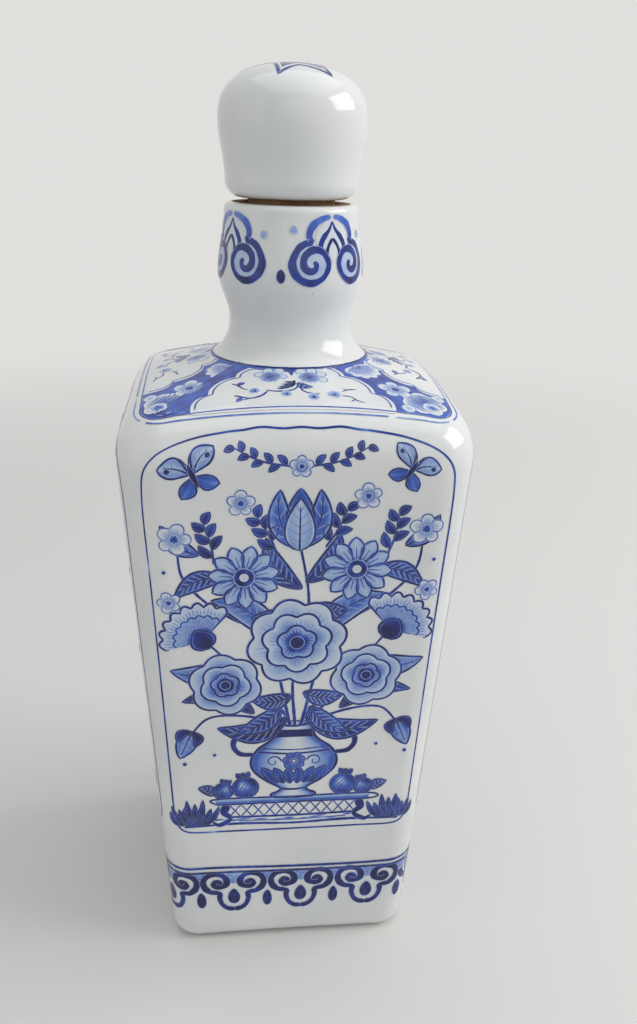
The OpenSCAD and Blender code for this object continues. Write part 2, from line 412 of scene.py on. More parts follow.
# glaze: soft clouds between two whites, a few dark specks, and slow waves of the surface
def glazeGroup():
    group, given = openGroup("glazeSkin", White=glaze["white"], Cool=glaze["cool"])
    place = objectPlace(group)
    clouds = noise(group, (-650, 150), place, glaze["cloudScale"], glaze["cloudDetail"])
    share = remap(group, (-420, 150), clouds, glaze["cloudRange"])
    white = mixColours(group, (-150, 150), share, given["White"], given["Cool"])
    # a speck is the middle of a cell, kept only where the cell's own random colour is high
    grid = {"Vector": place, "Scale": glaze["speckScale"]}
    cells = addNode(group, "TexVoronoi", (-650, -450), grid).outputs
    near = calculate(group, (-420, -450), "LESS_THAN", cells["Distance"], glaze["speckSize"])
    split = addNode(group, "SeparateColor", (-420, -620), {"Color": cells["Color"]}).outputs
    rare = calculate(group, (-250, -620), "GREATER_THAN", split["Red"], 1 - glaze["speckShare"])
    speck = calculate(group, (-80, -500), "MULTIPLY", near, rare)
    colour = mixColours(group, (120, 100), speck, white, (*glaze["speck"], 1))
    rough = remap(group, (120, -150), clouds, (0, 1), glaze["roughness"])
    waves = noise(group, (-650, -150), place, glaze["waveScale"], glaze["waveDetail"])
    return closeGroup(group, Color=colour, Roughness=rough, Height=waves)


# brushed cobalt: the tone along a stroke, broken by two noises, chooses a colour from white to navy
def inkGroup():
    group, given = openGroup("brushedCobalt", Glaze=glaze["white"], Tone=0)
    place = objectPlace(group)
    fine = noise(group, (-650, -150), place, ink["streakScale"], ink["streakDetail"])
    broad = noise(group, (-650, -400), place, ink["broadScale"], ink["broadDetail"])
    total = calculate(group, (-430, -250), "ADD", fine, broad)
    swing = remap(group, (-250, -250), total, ink["streakRange"], (1 - ink["streak"], 1 + ink["streak"]))
    tone = calculate(group, (-60, -100), "MULTIPLY", given["Tone"], swing)
    stops = [(0, ink["wash"]), (ink["washTone"], ink["wash"]), (ink["middleTone"], ink["middle"]),
             (ink["cobaltTone"], ink["cobalt"]), (1, ink["navy"])]
    blues = colourRamp(group, (120, -150), tone, stops)
    cover = remap(group, (120, 100), tone, (0, ink["washTone"]))
    return closeGroup(group, Color=mixColours(group, (450, 50), cover, given["Glaze"], blues))


# bare clay where the glaze was wiped off: two browns by a fine noise, and a matt finish
def clayGroup():
    group, given = openGroup("bareClay", Glaze=glaze["white"], Gloss=0.1, Bare=0)
    grain = noise(group, (-650, -150), objectPlace(group), clay["grainScale"], clay["grainDetail"])
    browns = colourRamp(group, (-430, -150), grain, clay["browns"])
    colour = mixColours(group, (0, 100), given["Bare"], given["Glaze"], browns)
    rough = remap(group, (0, -200), given["Bare"], (0, 1), (given["Gloss"], clay["roughness"]))
    return closeGroup(group, Color=colour, Roughness=rough)


glazeSkin, brushedCobalt, bareClay = glazeGroup(), inkGroup(), clayGroup()


def newMaterial(name):
    material = bpy.data.materials.new(name)
    material.use_nodes = True
    tree = material.node_tree
    return material, tree, tree.nodes["Principled BSDF"]


# a glazed surface, painted where the piece carries a tone, or else with clay where it carries no glaze
def glazedMaterial(name, painted):
    material, tree, surface = newMaterial(name)
    skin = addNode(tree, "Group", (-700, 0), node_tree=glazeSkin).outputs
    wave = {"Strength": glaze["waveStrength"], "Distance": glaze["wave"], "Height": skin["Height"]}
    label = "tone" if painted else "bare"
    mask = addNode(tree, "Attribute", (-700, 250), attribute_name=label).outputs["Fac"]
    if painted:
        values = {"Glaze": skin["Color"], "Tone": mask}
        finish = addNode(tree, "Group", (-420, 150), node_tree=brushedCobalt)
        rough = skin["Roughness"]
    else:
        values = {"Glaze": skin["Color"], "Gloss": skin["Roughness"], "Bare": mask}
        finish = addNode(tree, "Group", (-420, 150), node_tree=bareClay)
        rough = finish.outputs["Roughness"]
    feed(finish, values)
    feed(surface, {"Base Color": finish.outputs["Color"], "Roughness": rough, "IOR": glaze["ior"],
                   "Normal": addNode(tree, "Bump", (-250, -300), wave).outputs["Normal"]})
    return material


corkLook = {"browns": [(0.35, (0.26, 0.14, 0.07)), (0.62, (0.50, 0.31, 0.17))], "pit": (0.07, 0.035, 0.02),
            "stretch": (1, 1, 0.45), "grainScale": 130,
            "grainDetail": 6, "grainRoughness": 0.7, "pitScale": 330, "pitRange": (0.42, 0.2),
            "patchRange": (0.58, 0.68), "relief": 0.0006, "reliefStrength": 0.8, "roughness": 0.85}


# cork: two browns by a fine noise, with dark pits in patches where cells are close to their middle
def corkMaterial():
    material, tree, surface = newMaterial("naturalCork")
    scale = {"Vector": objectPlace(tree, (-1100, 0)), "Scale": corkLook["stretch"]}
    place = addNode(tree, "Mapping", (-900, 0), scale).outputs["Vector"]
    grain = noise(tree, (-700, 150), place, corkLook["grainScale"], corkLook["grainDetail"],
                  corkLook["grainRoughness"])
    browns = colourRamp(tree, (-480, 150), grain, corkLook["browns"])
    cells = addNode(tree, "TexVoronoi", (-700, -200), {"Vector": place, "Scale": corkLook["pitScale"]})
    patch = remap(tree, (-480, -50), grain, corkLook["patchRange"])
    deep = remap(tree, (-480, -280), cells.outputs["Distance"], corkLook["pitRange"])
    pit = calculate(tree, (-280, -150), "MULTIPLY", patch, deep)
    height = calculate(tree, (-120, -200), "SUBTRACT", grain, pit)
    relief = {"Strength": corkLook["reliefStrength"], "Distance": corkLook["relief"], "Height": height}
    feed(surface, {"Base Color": mixColours(tree, (-120, 150), pit, browns, (*corkLook["pit"], 1)),
                   "Roughness": corkLook["roughness"],
                   "Normal": addNode(tree, "Bump", (60, -250), relief).outputs["Normal"]})
    return material


print("stage: glaze, cobalt, clay and cork ready")

# place in millimetres and turns in degrees: heading clockwise from straight at the front, tilt up from level
view = {"place": (-20.4, -267.96, 249.97), "heading": 6.532, "tilt": -22.231, "roll": 1.662, "lens": 31.65}


def buildCamera():
    data = bpy.data.cameras.new("photoCamera")
    data.lens, data.sensor_width, data.clip_start, data.clip_end = view["lens"], 36, 0.01, 20
    camera = bpy.data.objects.new("photoCamera", data)
    scene.collection.objects.link(camera)
    camera.matrix_world = (Matrix.Translation([v * millimetre for v in view["place"]])
                           @ Matrix.Rotation(math.radians(-view["heading"]), 4, "Z")
                           @ Matrix.Rotation(math.radians(90 + view["tilt"]), 4, "X")
                           @ Matrix.Rotation(math.radians(view["roll"]), 4, "Z"))
    scene.camera = camera


# sizes in metres and lamps in watts; paper is the tone of the floor and the walls further away
studio = {"floor": (0.70, 0.69, 0.675), "paper": (0.75, 0.74, 0.725), "paperRange": (0.3, 0.95),
          "floorRoughness": 0.8, "floorSpecular": 0.1,
          "world": 0.38, "reach": 6.0, "rings": 24, "spokes": 96, "hub": 0.03, "spread": 1.5,
          "lamps": [{"name": "window", "place": (1.15, -0.1, 0.8), "aim": 0.2, "size": (0.95, 0.62),
                     "power": 9.5},
                    {"name": "softTop", "place": (0.1, 0, 1.5), "aim": 0.1, "size": (1.8, 1.8), "power": 10},
                    {"name": "leftFill", "place": (-1.4, -0.5, 0.6), "aim": 0.14, "size": (1.2, 1.2),
                     "power": 1.6},
                    {"name": "frontFill", "place": (0.3, -2, 0.9), "aim": 0.1, "size": (2.2, 1.4),
                     "power": 4.5}]}


# 1 for what the camera sees, also in a reflection or through glass, and 0 for light that falls on things
def seenDirectly(tree):
    ray = addNode(tree, "LightPath", (-700, 600)).outputs
    seen = calculate(tree, (-500, 600), "MAXIMUM", ray["Is Camera Ray"], ray["Is Glossy Ray"])
    return calculate(tree, (-300, 600), "MAXIMUM", seen, ray["Is Transmission Ray"])


# pale floor: plain where the shadow falls, and further away an even pale tone that only what looks at it sees
def floorMaterial():
    material, tree, surface = newMaterial("paleFloor")
    feed(surface, {"Base Color": (*studio["floor"], 1), "Roughness": studio["floorRoughness"],
                   "Specular IOR Level": studio["floorSpecular"]})
    away = addNode(tree, "VectorMath", (-700, 300), {0: objectPlace(tree, (-900, 300))}, operation="LENGTH")
    fade = remap(tree, (-500, 300), away.outputs["Value"], studio["paperRange"],
                 interpolation_type="SMOOTHSTEP")
    share = calculate(tree, (-100, 450), "MULTIPLY", seenDirectly(tree), fade)
    paper = addNode(tree, "Emission", (-100, 250), {"Color": (*studio["paper"], 1)})
    shares = {0: share, 1: surface.outputs["BSDF"], 2: paper.outputs["Emission"]}
    mixed = addNode(tree, "MixShader", (400, 300), shares)
    feed(tree.nodes["Material Output"], {"Surface": mixed.outputs["Shader"]})
    return material


# flat round floor of rings that grow outward as a power of their number
def buildFloor():
    rings, spokes = studio["rings"], studio["spokes"]
    turn = np.linspace(0, 2 * math.pi, spokes, endpoint=False)
    rho = np.linspace(studio["hub"], 1, rings)[:, None] ** studio["spread"] * studio["reach"]
    points = np.stack([rho * np.cos(turn), rho * np.sin(turn), 0 * rho + 0 * turn], -1).reshape(-1, 3)
    row, column = (np.arange(rings - 1) * spokes)[:, None], np.arange(spokes)
    beside = (column + 1) % spokes
    quads = np.stack([row + column, row + column + spokes, row + beside + spokes, row + beside], -1)
    mesh = bpy.data.meshes.new("studioFloor")
    mesh.from_pydata(points.tolist(), [], quads.reshape(-1, 4).tolist() + [column.tolist()])
    mesh.shade_smooth()
    mesh.materials.append(floorMaterial())
    floor = bpy.data.objects.new("studioFloor", mesh)
    scene.collection.objects.link(floor)


def addLamp(lamp):
    data = bpy.data.lights.new(lamp["name"], "AREA")
    data.shape, data.size, data.size_y, data.energy = "RECTANGLE", *lamp["size"], lamp["power"]
    light = bpy.data.objects.new(lamp["name"], data)
    scene.collection.objects.link(light)
    light.location = lamp["place"]
    light.rotation_euler = (light.location - Vector((0, 0, lamp["aim"]))).to_track_quat("Z", "Y").to_euler()


def buildStage():
    buildFloor()
    for lamp in studio["lamps"]:
        addLamp(lamp)
    world = bpy.data.worlds.new("studioWorld")
    world.use_nodes = True
    tree = world.node_tree
    light = tree.nodes["Background"]
    feed(light, {"Color": (1, 1, 1, 1), "Strength": studio["world"]})
    paper = addNode(tree, "Background", (-100, -150), {"Color": (*studio["paper"], 1)})
    mixed = addNode(tree, "MixShader", (200, 0), {0: seenDirectly(tree), 1: light.outputs["Background"],
                                                  2: paper.outputs["Background"]})
    feed(tree.nodes["World Output"], {"Surface": mixed.outputs["Shader"]})
    scene.world = world
    scene.view_settings.view_transform = "Standard"


# turned knob, closed over its socket: rounded lower edge, eased side and a crown that is a superellipse
def buildKnob():
    turn = np.arange(knob["columns"]) / knob["columns"] * 2 * math.pi
    bottom, socket, depth = knob["bottom"], knob["socket"], knob["socketDepth"]
    rows = [(socket * share, bottom + depth) for share in (0.5, 0.98, 1)]
    rows += [(socket, bottom + depth * share) for share in (0.95, 0.5, 0.04)]
    rows += [(socket + 0.3, bottom), (socket + 1, bottom)]
    rows += lowerEdge(lambda z: knob["lowRadius"], bottom, knob["edge"], 10)
    for t in stepsTo(knob["sideRows"]):
        z = bottom + lerp(knob["edge"], knob["wideHeight"], t)
        rows.append((lerp(knob["lowRadius"], knob["radius"], ease(t)), z))
    rise, power = knob["height"] - knob["wideHeight"], 2 / knob["crown"]
    for a in quarterArc(knob["crownRows"])[1:-1]:
        z = bottom + knob["wideHeight"] + rise * math.sin(a) ** power
        rows.append((knob["radius"] * math.cos(a) ** power, z))

    def bare(rho, z):
        return (z < bottom + knob["bareHeight"]) | ((rho < socket + touch) & (z < bottom + depth + 1))

    return closedSurface("knobGlaze", turn, rows, bottom + depth, bottom + knob["height"], bare)


# tapered cork: flat end with a rounded edge, taper inside the neck, straight inside the knob
def buildCork():
    turn = np.arange(cork["columns"]) / cork["columns"] * 2 * math.pi
    low, straight = cork["bottom"] + cork["edge"], cork["straightFrom"]
    rows = [(cork["endRadius"] - cork["edge"] - inward, cork["bottom"]) for inward in (8, 4.8, 1.6)]
    rows += lowerEdge(lambda z: cork["endRadius"], cork["bottom"], cork["edge"], 6)
    rows += [(lerp(cork["endRadius"], cork["radius"], t), lerp(low, straight, t)) for t in stepsTo(24)]
    rows += [(cork["radius"], lerp(straight, cork["top"], t)) for t in (0.17, 0.5, 1)]
    return closedSurface("corkPlug", turn, rows, cork["bottom"], cork["top"])


# how cobalt lies on the glaze: lifts and steps in millimetres, tones from 0, bare glaze, to 1, darkest blue;
# a drawing is a list of parts, each a grid of places, the tones at them and the layer in which it lies
paint = {"lift": 0.02, "layerStep": 0.016, "orderStep": 0.00012, "reach": 0.02, "line": 0.8, "fine": 0.42,
         "shake": 0.12, "mottle": 0.14, "step": 0.55, "gap": 3, "cut": 56, "wallMap": 1024, "knobMap": 256,
         "mapScale": 16.0, "mapShrink": 0.95}


def direction(angle):
    return np.stack([np.cos(angle), np.sin(angle)], -1)


# distance walked along a line at each of its points
def walk(line):
    return np.append(0, np.cumsum(np.hypot(*np.diff(line, axis=0).T)))


def placesAt(share, shares, line):
    return np.stack([np.interp(share, shares, line[:, k]) for k in (0, 1)], -1)


# smooth line through points: each stretch is a cubic steered by its neighbours, then cut into even steps
def smoothLine(points, closed=False):
    given = np.array(points, float)
    if closed:
        given = np.vstack([given[-1:], given, given[:2]])
    else:
        given = np.vstack([2 * given[:1] - given[1:2], given, 2 * given[-1:] - given[-2:-1]])
    a, b, c, d = (given[i:len(given) - 3 + i, None] for i in range(4))
    t = np.linspace(0, 1, 12, endpoint=False)[None, :, None]
    curve = 0.5 * (2 * b + (c - a) * t + (2 * a - 5 * b + 4 * c - d) * t ** 2
                   + (3 * b - a - 3 * c + d) * t ** 3)
    curve = np.vstack([curve.reshape(-1, 2), given[-2:-1]])
    walked = walk(curve)
    return placesAt(np.linspace(0, walked[-1], max(int(walked[-1] / paint["step"]), 3) + 1), walked, curve)


# a few values spread evenly over shares from 0 to 1
def spread(values, share):
    values = np.atleast_1d(values)
    return np.interp(share, np.linspace(0, 1, len(values)), values)


# slow wander of a hand: three sines of the distance
def wander(distance, seed):
    return (np.sin(0.9 * distance + 7.1 * seed) + 0.6 * np.sin(2.3 * distance + 3.7 * seed)
            + 0.4 * np.sin(5.1 * distance + 1.3 * seed)) / 2


# brush stroke: a line widened to both sides, dark along its middle and thin at its edges
def stroke(points, width=paint["line"], tone=0.85, layer=2.6, closed=False):
    line = smoothLine(points, closed) if isinstance(points, list) else points
    along = np.gradient(line, axis=0)
    if closed:
        along[0] = along[-1] = line[1] - line[-2]
    along /= np.maximum(np.hypot(*along.T), 1e-6)[:, None]
    side = along[:, ::-1] * (-1, 1)
    share, seed = np.linspace(0, 1, len(line)), 0.37 * line[0, 0] + 0.71 * line[0, 1]
    walked = walk(line)
    half = spread(width, share) / 2 * (1 + paint["shake"] * wander(walked, seed) * (not closed))
    if not closed:
        end = np.clip(np.minimum(walked, walked[::-1]) / np.maximum(half, 0.3), 0, 1)
        half = half * np.maximum(np.sqrt(end * (2 - end)), 0.35)
    place, fade = np.array([-1, -0.78, 0, 0.78, 1]), np.array([0, 0.92, 1, 0.92, 0])
    grid = line[:, None] + side[:, None] * (half[:, None] * place)[..., None]
    level = spread(tone, share) * (1 + paint["mottle"] * wander(0.4 * walked, seed + 2))
    return grid, level[:, None] * fade, layer


# filled shape: rings that shrink from its outline to a middle point, with tones from the middle outward
def wash(outline, tone, layer=2, centre=None, rim=0.35):
    line = smoothLine(outline, True) if isinstance(outline, list) else outline
    middle = line[:-1].mean(0) if centre is None else np.array(centre, float)
    reach = np.hypot(*(line - middle).T)
    rings = max(int(reach.max() / 1.2), 2)
    share = np.append(np.linspace(0.04, 1 - rim / reach.mean(), rings), 1)
    seed = middle[0] + 0.7 * middle[1]
    uneven = 1 + paint["mottle"] * np.sin(np.linspace(0, 2 * math.pi, len(line)) * 3 + seed)
    level = np.append(spread(tone, np.linspace(0, 1, rings)), 0)
    return middle + (line - middle) * share[:, None, None], level[:, None] * uneven, layer


# filled shape with a line round it
def outlined(shape, tones, layer, width, edge, over=0.6, centre=None):
    return [wash(shape, tones, layer, centre), stroke(shape, width, edge, layer + over, True)]


# fill between two lines with as many points each, straight from one to the other
def ruled(first, second, tone, layer=2, rungs=8):
    share = np.linspace(0, 1, rungs + 1)
    grid = first + (second - first) * share[:, None, None]
    return grid, np.broadcast_to(spread(tone, share)[:, None], grid.shape[:2]), layer


# how far a scalloped edge reaches in a direction: least between two lobes, full on each lobe
def scallop(angle, radius, lobes, depth, turn):
    return radius * (1 - depth * (1 - np.abs(np.sin(lobes / 2 * (angle - turn)))))


def ring(centre, radius, lobes=1, depth=0.0, turn=0.0, squash=1.0):
    angle = np.linspace(0, 2 * math.pi, max(int(2 * math.pi * radius / 0.6), 4 * lobes, 12) + 1)
    reach = scallop(angle, radius, lobes, depth, turn)[:, None]
    return np.array(centre, float) + reach * direction(angle) * (1, squash)


# fine hatching: thin tapered lines outward from a centre, over a span of directions in degrees
def rays(centre, inner, outer, count, span=(0, 360), tone=0.7, width=paint["fine"], layer=2.3,
         edge=(1, 0, 0)):
    angle = np.radians(np.linspace(*span, count, endpoint=span[1] - span[0] < 360))
    reach = scallop(angle, outer, *edge) * (1 - 0.1 * np.abs(np.sin(2.4 * np.arange(count))))
    along = inner + (reach - inner)[:, None] * np.array([0, 0.35, 0.7, 1])
    half = width / 2 * np.array([0.7, 1, 0.8, 0.2])
    out = direction(angle)
    side = out[:, ::-1] * (-1, 1)
    middle = np.array(centre, float) + along[..., None] * out[:, None]
    grid = middle[:, :, None] + (half[:, None] * np.array([-1, 0, 1]))[None, ..., None] * side[:, None, None]
    level = np.array([1, 1, 0.8, 0.4])[:, None] * np.array([0, tone, 0])
    return grid, np.broadcast_to(level, grid.shape[:3]), layer


# lines side by side across a round shape, each as long as the shape is wide there
def hatch(centre, radius, count, turn=0.0, tone=0.7, width=paint["fine"], layer=2.3):
    parts = []
    for away in np.linspace(-0.82, 0.82, count):
        reach, z = 0.92 * radius * math.sqrt(1 - away ** 2), away * radius
        line = [(-reach, z), (0, z + 0.3), (reach, z)]
        parts.append(stroke(line, (0.5 * width, width, 0.4 * width), tone, layer))
    return moved(parts, centre, turn)


# veins of a leaf: short bars from its middle line towards both edges
def veinBars(t, middle, edge, count, tone, layer):
    parts, at = [], np.linspace(0.16, 0.74, count)
    for s in (-1, 1):
        start, end = placesAt(at, t, middle), placesAt(at + 0.14, t, middle + s * edge)
        bars = start[:, None] + (end - start)[:, None] * np.array([0, 0.5, 1])[:, None]
        across = (end - start)[:, ::-1] * (-1, 1) / np.hypot(*(end - start).T)[:, None]
        grid = bars[:, :, None] + (0.17 * np.array([-1, 0, 1]))[:, None] * across[:, None, None]
        parts.append((grid, np.broadcast_to([0, tone, 0], grid.shape[:3]), layer))
    return parts


# leaf or petal: a bent middle line, with a half width that swells as a sine of the length
def blade(base, tip, width, bow=0.0, lean=1.0, tone=(0.3, 0.14), edge=0.8, veins=0, layer=2):
    base, tip = np.array(base, float), np.array(tip, float)
    span = tip - base
    length = math.hypot(*span)
    side = span[::-1] * (-1, 1) / length
    t = np.linspace(0, 1, max(int(length / 0.7), 8))
    middle = base + span * t[:, None] + side * (4 * bow * length * t * (1 - t))[:, None]
    half = side * (width / 2 * np.maximum(np.sin(math.pi * t ** lean), 0) ** 0.8 + 0.04)[:, None]
    place = np.linspace(-1, 1, 9)
    level = spread(tone, np.abs(place)) * np.linspace(1.25, 0.8, len(t))[:, None]
    parts = [(middle[:, None] + half[:, None] * place[:, None], level * (np.abs(place) < 1), layer)]
    line = min(paint["line"], 0.12 * width + 0.3)
    if edge:
        rim = np.vstack([middle + half, (middle - half)[-2::-1]])
        parts.append(stroke(rim, (0.7 * line, line, 0.8 * line, line, 0.7 * line), edge, layer + 0.6))
    if veins:
        parts.append(stroke(middle[:int(0.9 * len(t))], (0.8 * line, 0.5 * line), edge, layer + 0.45))
        parts += veinBars(t, middle, 0.8 * half, veins, 0.8 * edge, layer + 0.4)
    return parts


# the same parts turned by degrees, resized, mirrored and put somewhere else
def moved(parts, at=(0, 0), turn=0.0, size=1.0, flip=False, deeper=0):
    c, s = size * math.cos(math.radians(turn)), size * math.sin(math.radians(turn))
    matrix = np.array([[c, s], [-s, c]]) * np.array([[-1], [1]] if flip else [[1], [1]])
    return [(grid @ matrix + np.array(at, float), tone, layer + deeper) for grid, tone, layer in parts]


def mirrored(parts):
    return parts + moved(parts, flip=True)


# curl: a spiral whose radius shrinks evenly as it turns
def curl(start, radius, turns, turn, flip, width):
    t = np.linspace(0, 1, 40)
    line = (radius * (1 - 0.85 * t))[:, None] * direction(math.radians(turn) + flip * 2 * math.pi * turns * t)
    return [stroke(smoothLine(line - line[0] + start), width, 0.75)]


# open blossom: three scalloped rings, each paler to its rim and hatched outward, round a dark heart
def peony(centre, radius, lobes=7, turn=0.0, layer=2, deep=1.0):
    parts = []
    rings = ((1, lobes, 0.14, (0.7, 0.5, 0.26, 0.1)), (0.7, lobes - 1, 0.17, (0.85, 0.6, 0.3, 0.1)),
             (0.4, 5, 0.2, (1, 0.9, 0.55, 0.25)))
    for share, petals, depth, tones in rings:
        reach, edge = radius * share, (petals, depth, turn + 2 * share)
        line = 0.45 + 0.025 * radius
        parts += outlined(ring(centre, reach, *edge), deep * np.array(tones), layer, line, 0.88)
        parts.append(rays(centre, 0.6 * reach, 0.9 * reach, 5 * petals, layer=layer + 0.3, edge=edge))
        layer += 1
    return parts + [wash(ring(centre, 0.15 * radius), (1, 1), layer)]


# daisy: narrow petals round a dark eye with a pale middle
def daisy(centre, radius, petals=9, turn=0.0, layer=2, tone=(0.2, 0.34)):
    centre, parts = np.array(centre, float), []
    for angle in turn + np.arange(petals) * 2 * math.pi / petals:
        out = radius * direction(angle)
        parts += blade(centre + 0.2 * out, centre + out, 4.6 * radius / petals, lean=1.4, tone=tone,
                       layer=layer)
        parts.append(stroke([centre + 0.3 * out, centre + 0.72 * out], (0.5, 0.2), 0.7, layer + 0.4))
    return parts + [wash(ring(centre, 0.3 * radius), (0.95, 0.8), layer + 1),
                    wash(ring(centre, 0.13 * radius), (0.1, 0.1), layer + 2)]


# blossom of separate round petals, pale at their rims, round a hatched dark heart
def blossom(centre, radius, petals=5, turn=0.0, layer=1.2, heart=0.88):
    parts = []
    for k, angle in enumerate(turn + np.arange(petals) * 2 * math.pi / petals):
        at = np.array(centre, float) + 0.64 * radius * direction(angle)
        petal = ring(at, (0.44 - 0.05 * (k % 2)) * radius, 1, 0.12, angle + math.pi, 0.94)
        parts += outlined(petal, (0.14, 0.06, 0.02), layer + 0.02 * k, 0.42, 0.5, 0.3)
    middle = ring(centre, 0.36 * radius, 7, 0.3, turn)
    return parts + [rays(centre, 0.2 * radius, 0.86 * radius, 30, tone=0.62, layer=layer + 0.5),
                    wash(middle, (heart, 0.8 * heart, 0.5), layer + 0.6)]


def littleBlossoms(places):
    parts = []
    for x, z, radius in places:
        parts += blossom((x, z), radius, 5, 0.3 * x, 3)
    return parts


# fan petal: opens from its base to a scalloped rim, dark and hatched at the base and pale at the rim
def fanPetal(base, heading, reach, opening=84, lobes=7, layer=1):
    base, angle = np.array(base, float), np.radians(np.linspace(-opening, opening, 71))
    lobe = 1 - 0.1 * (1 - np.abs(np.sin(lobes * math.pi / 2 * (angle / angle[-1] + 1))))
    way = angle + math.radians(heading)
    rim = base + (reach * np.cos(0.8 * angle) ** 0.5 * lobe)[:, None] * direction(way)
    heart = base + 0.16 * reach * direction(way[35])
    low = (heading - 0.8 * opening, heading + 0.8 * opening)
    high = (heading - 0.7 * opening, heading + 0.7 * opening)
    return [wash(np.vstack([[base], rim, [base]]), (0.85, 0.62, 0.42, 0.22, 0.08, 0.02), layer, heart),
            stroke(rim, 0.4, 0.45, layer + 0.6),
            rays(base, 0.3 * reach, 0.82 * reach, 25, low, 0.78, 0.5, layer + 0.4),
            rays(base, 0.1 * reach, 0.5 * reach, 13, high, 0.9, 0.7, layer + 0.5)]


# tulip that stands on its base: two side petals that lean out and a broad one in front
def tulip(height, width):
    side = blade((0.08 * width, 0.05 * height), (0.36 * width, height), 0.42 * width, -0.12, 0.85,
                 (0.62, 0.35), 0.88, 4)
    back = blade((0, 0.1 * height), (0, 1.02 * height), 0.5 * width, 0, 0.9, (0.75, 0.55), 0.88)
    front = blade((0, 0), (0, 0.86 * height), 0.55 * width, 0, 0.72, (0.16, 0.34), 0.88, 5, 3)
    return back + moved(mirrored(side), deeper=0.3) + front


# carnation on its base: a dark cup, and a fan with a toothed edge and lines that spread upward
def carnation(size):
    angle = np.radians(np.linspace(18, 162, 61))
    top = scallop(angle, 11.5, 20, 0.12, 0)[:, None] * direction(angle) + (0, 1.5)
    low = 3.2 * direction(angle) + (0, 1.5)
    fan = [ruled(low, top, (0.6, 0.38, 0.2, 0.08), 2), stroke(np.vstack([low[:1], top, low[-1:]]), 0.7),
           stroke(lerp(low, top, 0.55), 0.6, 0.7), rays((0, 1.5), 4, 6.6, 19, (24, 156), layer=2.4),
           rays((0, 1.5), 8, 10.6, 23, (22, 158), layer=2.4)]
    return moved(fan + blade((0, -1.5), (0, 5.4), 6.6, 0, 0.8, (0.95, 0.85), 0.95, 0, 3), size=size)


def bud(length):
    cup = blade((0, -0.3), (0.26 * length, 0.5 * length), 0.26 * length, -0.25, 0.9, (0.9, 0.8), 0.95,
                layer=3)
    return blade((0, 0), (0, length), 0.55 * length, 0, 0.8, (0.3, 0.55), 0.88, 4) + mirrored(cup)


# twig with leaves by turns on either side, along a smooth line
def twig(points, leaves, length, width, tone, layer=1.6):
    line = smoothLine(points)
    parts = [stroke(line, (1.3 * width, width, 0.6 * width), 0.8, layer)]
    for k, t in enumerate(np.linspace(0.2, 0.95, leaves)):
        at = int(t * (len(line) - 2))
        heading = math.degrees(math.atan2(*(line[at + 1] - line[at])[::-1])) - 90
        leaf = blade((0, 0), (0, length * (1 - 0.3 * t)), 0.4 * length, 0.1, 0.9, tone, 0.9, 0, layer + 0.2)
        parts += moved(leaf, line[at], heading + 42 * (-1) ** k)
    return parts


def butterfly(size, turn):
    wings = (blade((0.6, 0.8), (8.5, 6), 6.2, 0.12, 1.3, (0.16, 0.42), 0.9, 4)
             + blade((0.6, -0.2), (6, -5), 4.6, -0.1, 1.2, (0.45, 0.7), 0.9, 0)
             + [wash(ring((6.2, 4.4), 1), (0.95, 0.9), 3)])
    feelers = mirrored([stroke([(0.2, 3.6), (1.4, 6.2), (3, 7.4)], 0.4)])
    middle = blade((0, -4), (0, 4), 1.9, 0, 1.2, (1, 0.9), 0, 0, 3)
    return moved(mirrored(wings) + feelers + middle, turn=turn, size=size)


# tuft of grass: narrow blades that lean out from one root
def tuft(x, z, height, count=7):
    parts = []
    for k, lean in enumerate(np.linspace(-1, 1, count)):
        tall = height * (1 - 0.35 * abs(lean)) * (0.88 + 0.12 * (-1) ** k)
        parts += blade((x + 1.6 * lean, z), (x + 0.62 * height * lean, z + tall), 1.9, -0.12 * lean, 0.75,
                       (0.85, 0.7), 0.9, 0, 2 + 0.1 * k)
    return parts


# pomegranate: a round fruit shaded to one side, with a toothed crown and, on some, a leaf
def fruit(radius, leaf=True):
    tones, light = (0.12, 0.3, 0.55, 0.75, 0.85), (-0.3 * radius, 0.3 * radius)
    parts = outlined(ring((0, 0), radius), tones, 2, 0.6, 0.9, centre=light)
    parts += hatch((0.1 * radius, -0.2 * radius), 0.8 * radius, 6, 55, 0.85, 0.4, 2.4)
    for lean in (-0.5, 0, 0.5):
        base, tip = (0.3 * lean * radius, 0.9 * radius), (lean * radius, 1.5 * radius)
        parts += blade(base, tip, 0.4 * radius, 0, 0.9, (0.8, 0.7), 0.9, 0, 2.2)
    if leaf:
        parts += blade((0.7 * radius, -0.7 * radius), (2.5 * radius, 0), 1.1 * radius, 0.15, 0.9, (0.9, 0.7),
                       0.92, 4, 1.9)
    return parts


# heights and half widths in the pictures, in millimetres from the foot and from the middle of a wall
picture = {"ground": 50.6, "groundHalf": 34, "tableTop": 61.5, "tableHalf": 24, "tableFoot": 50.5}


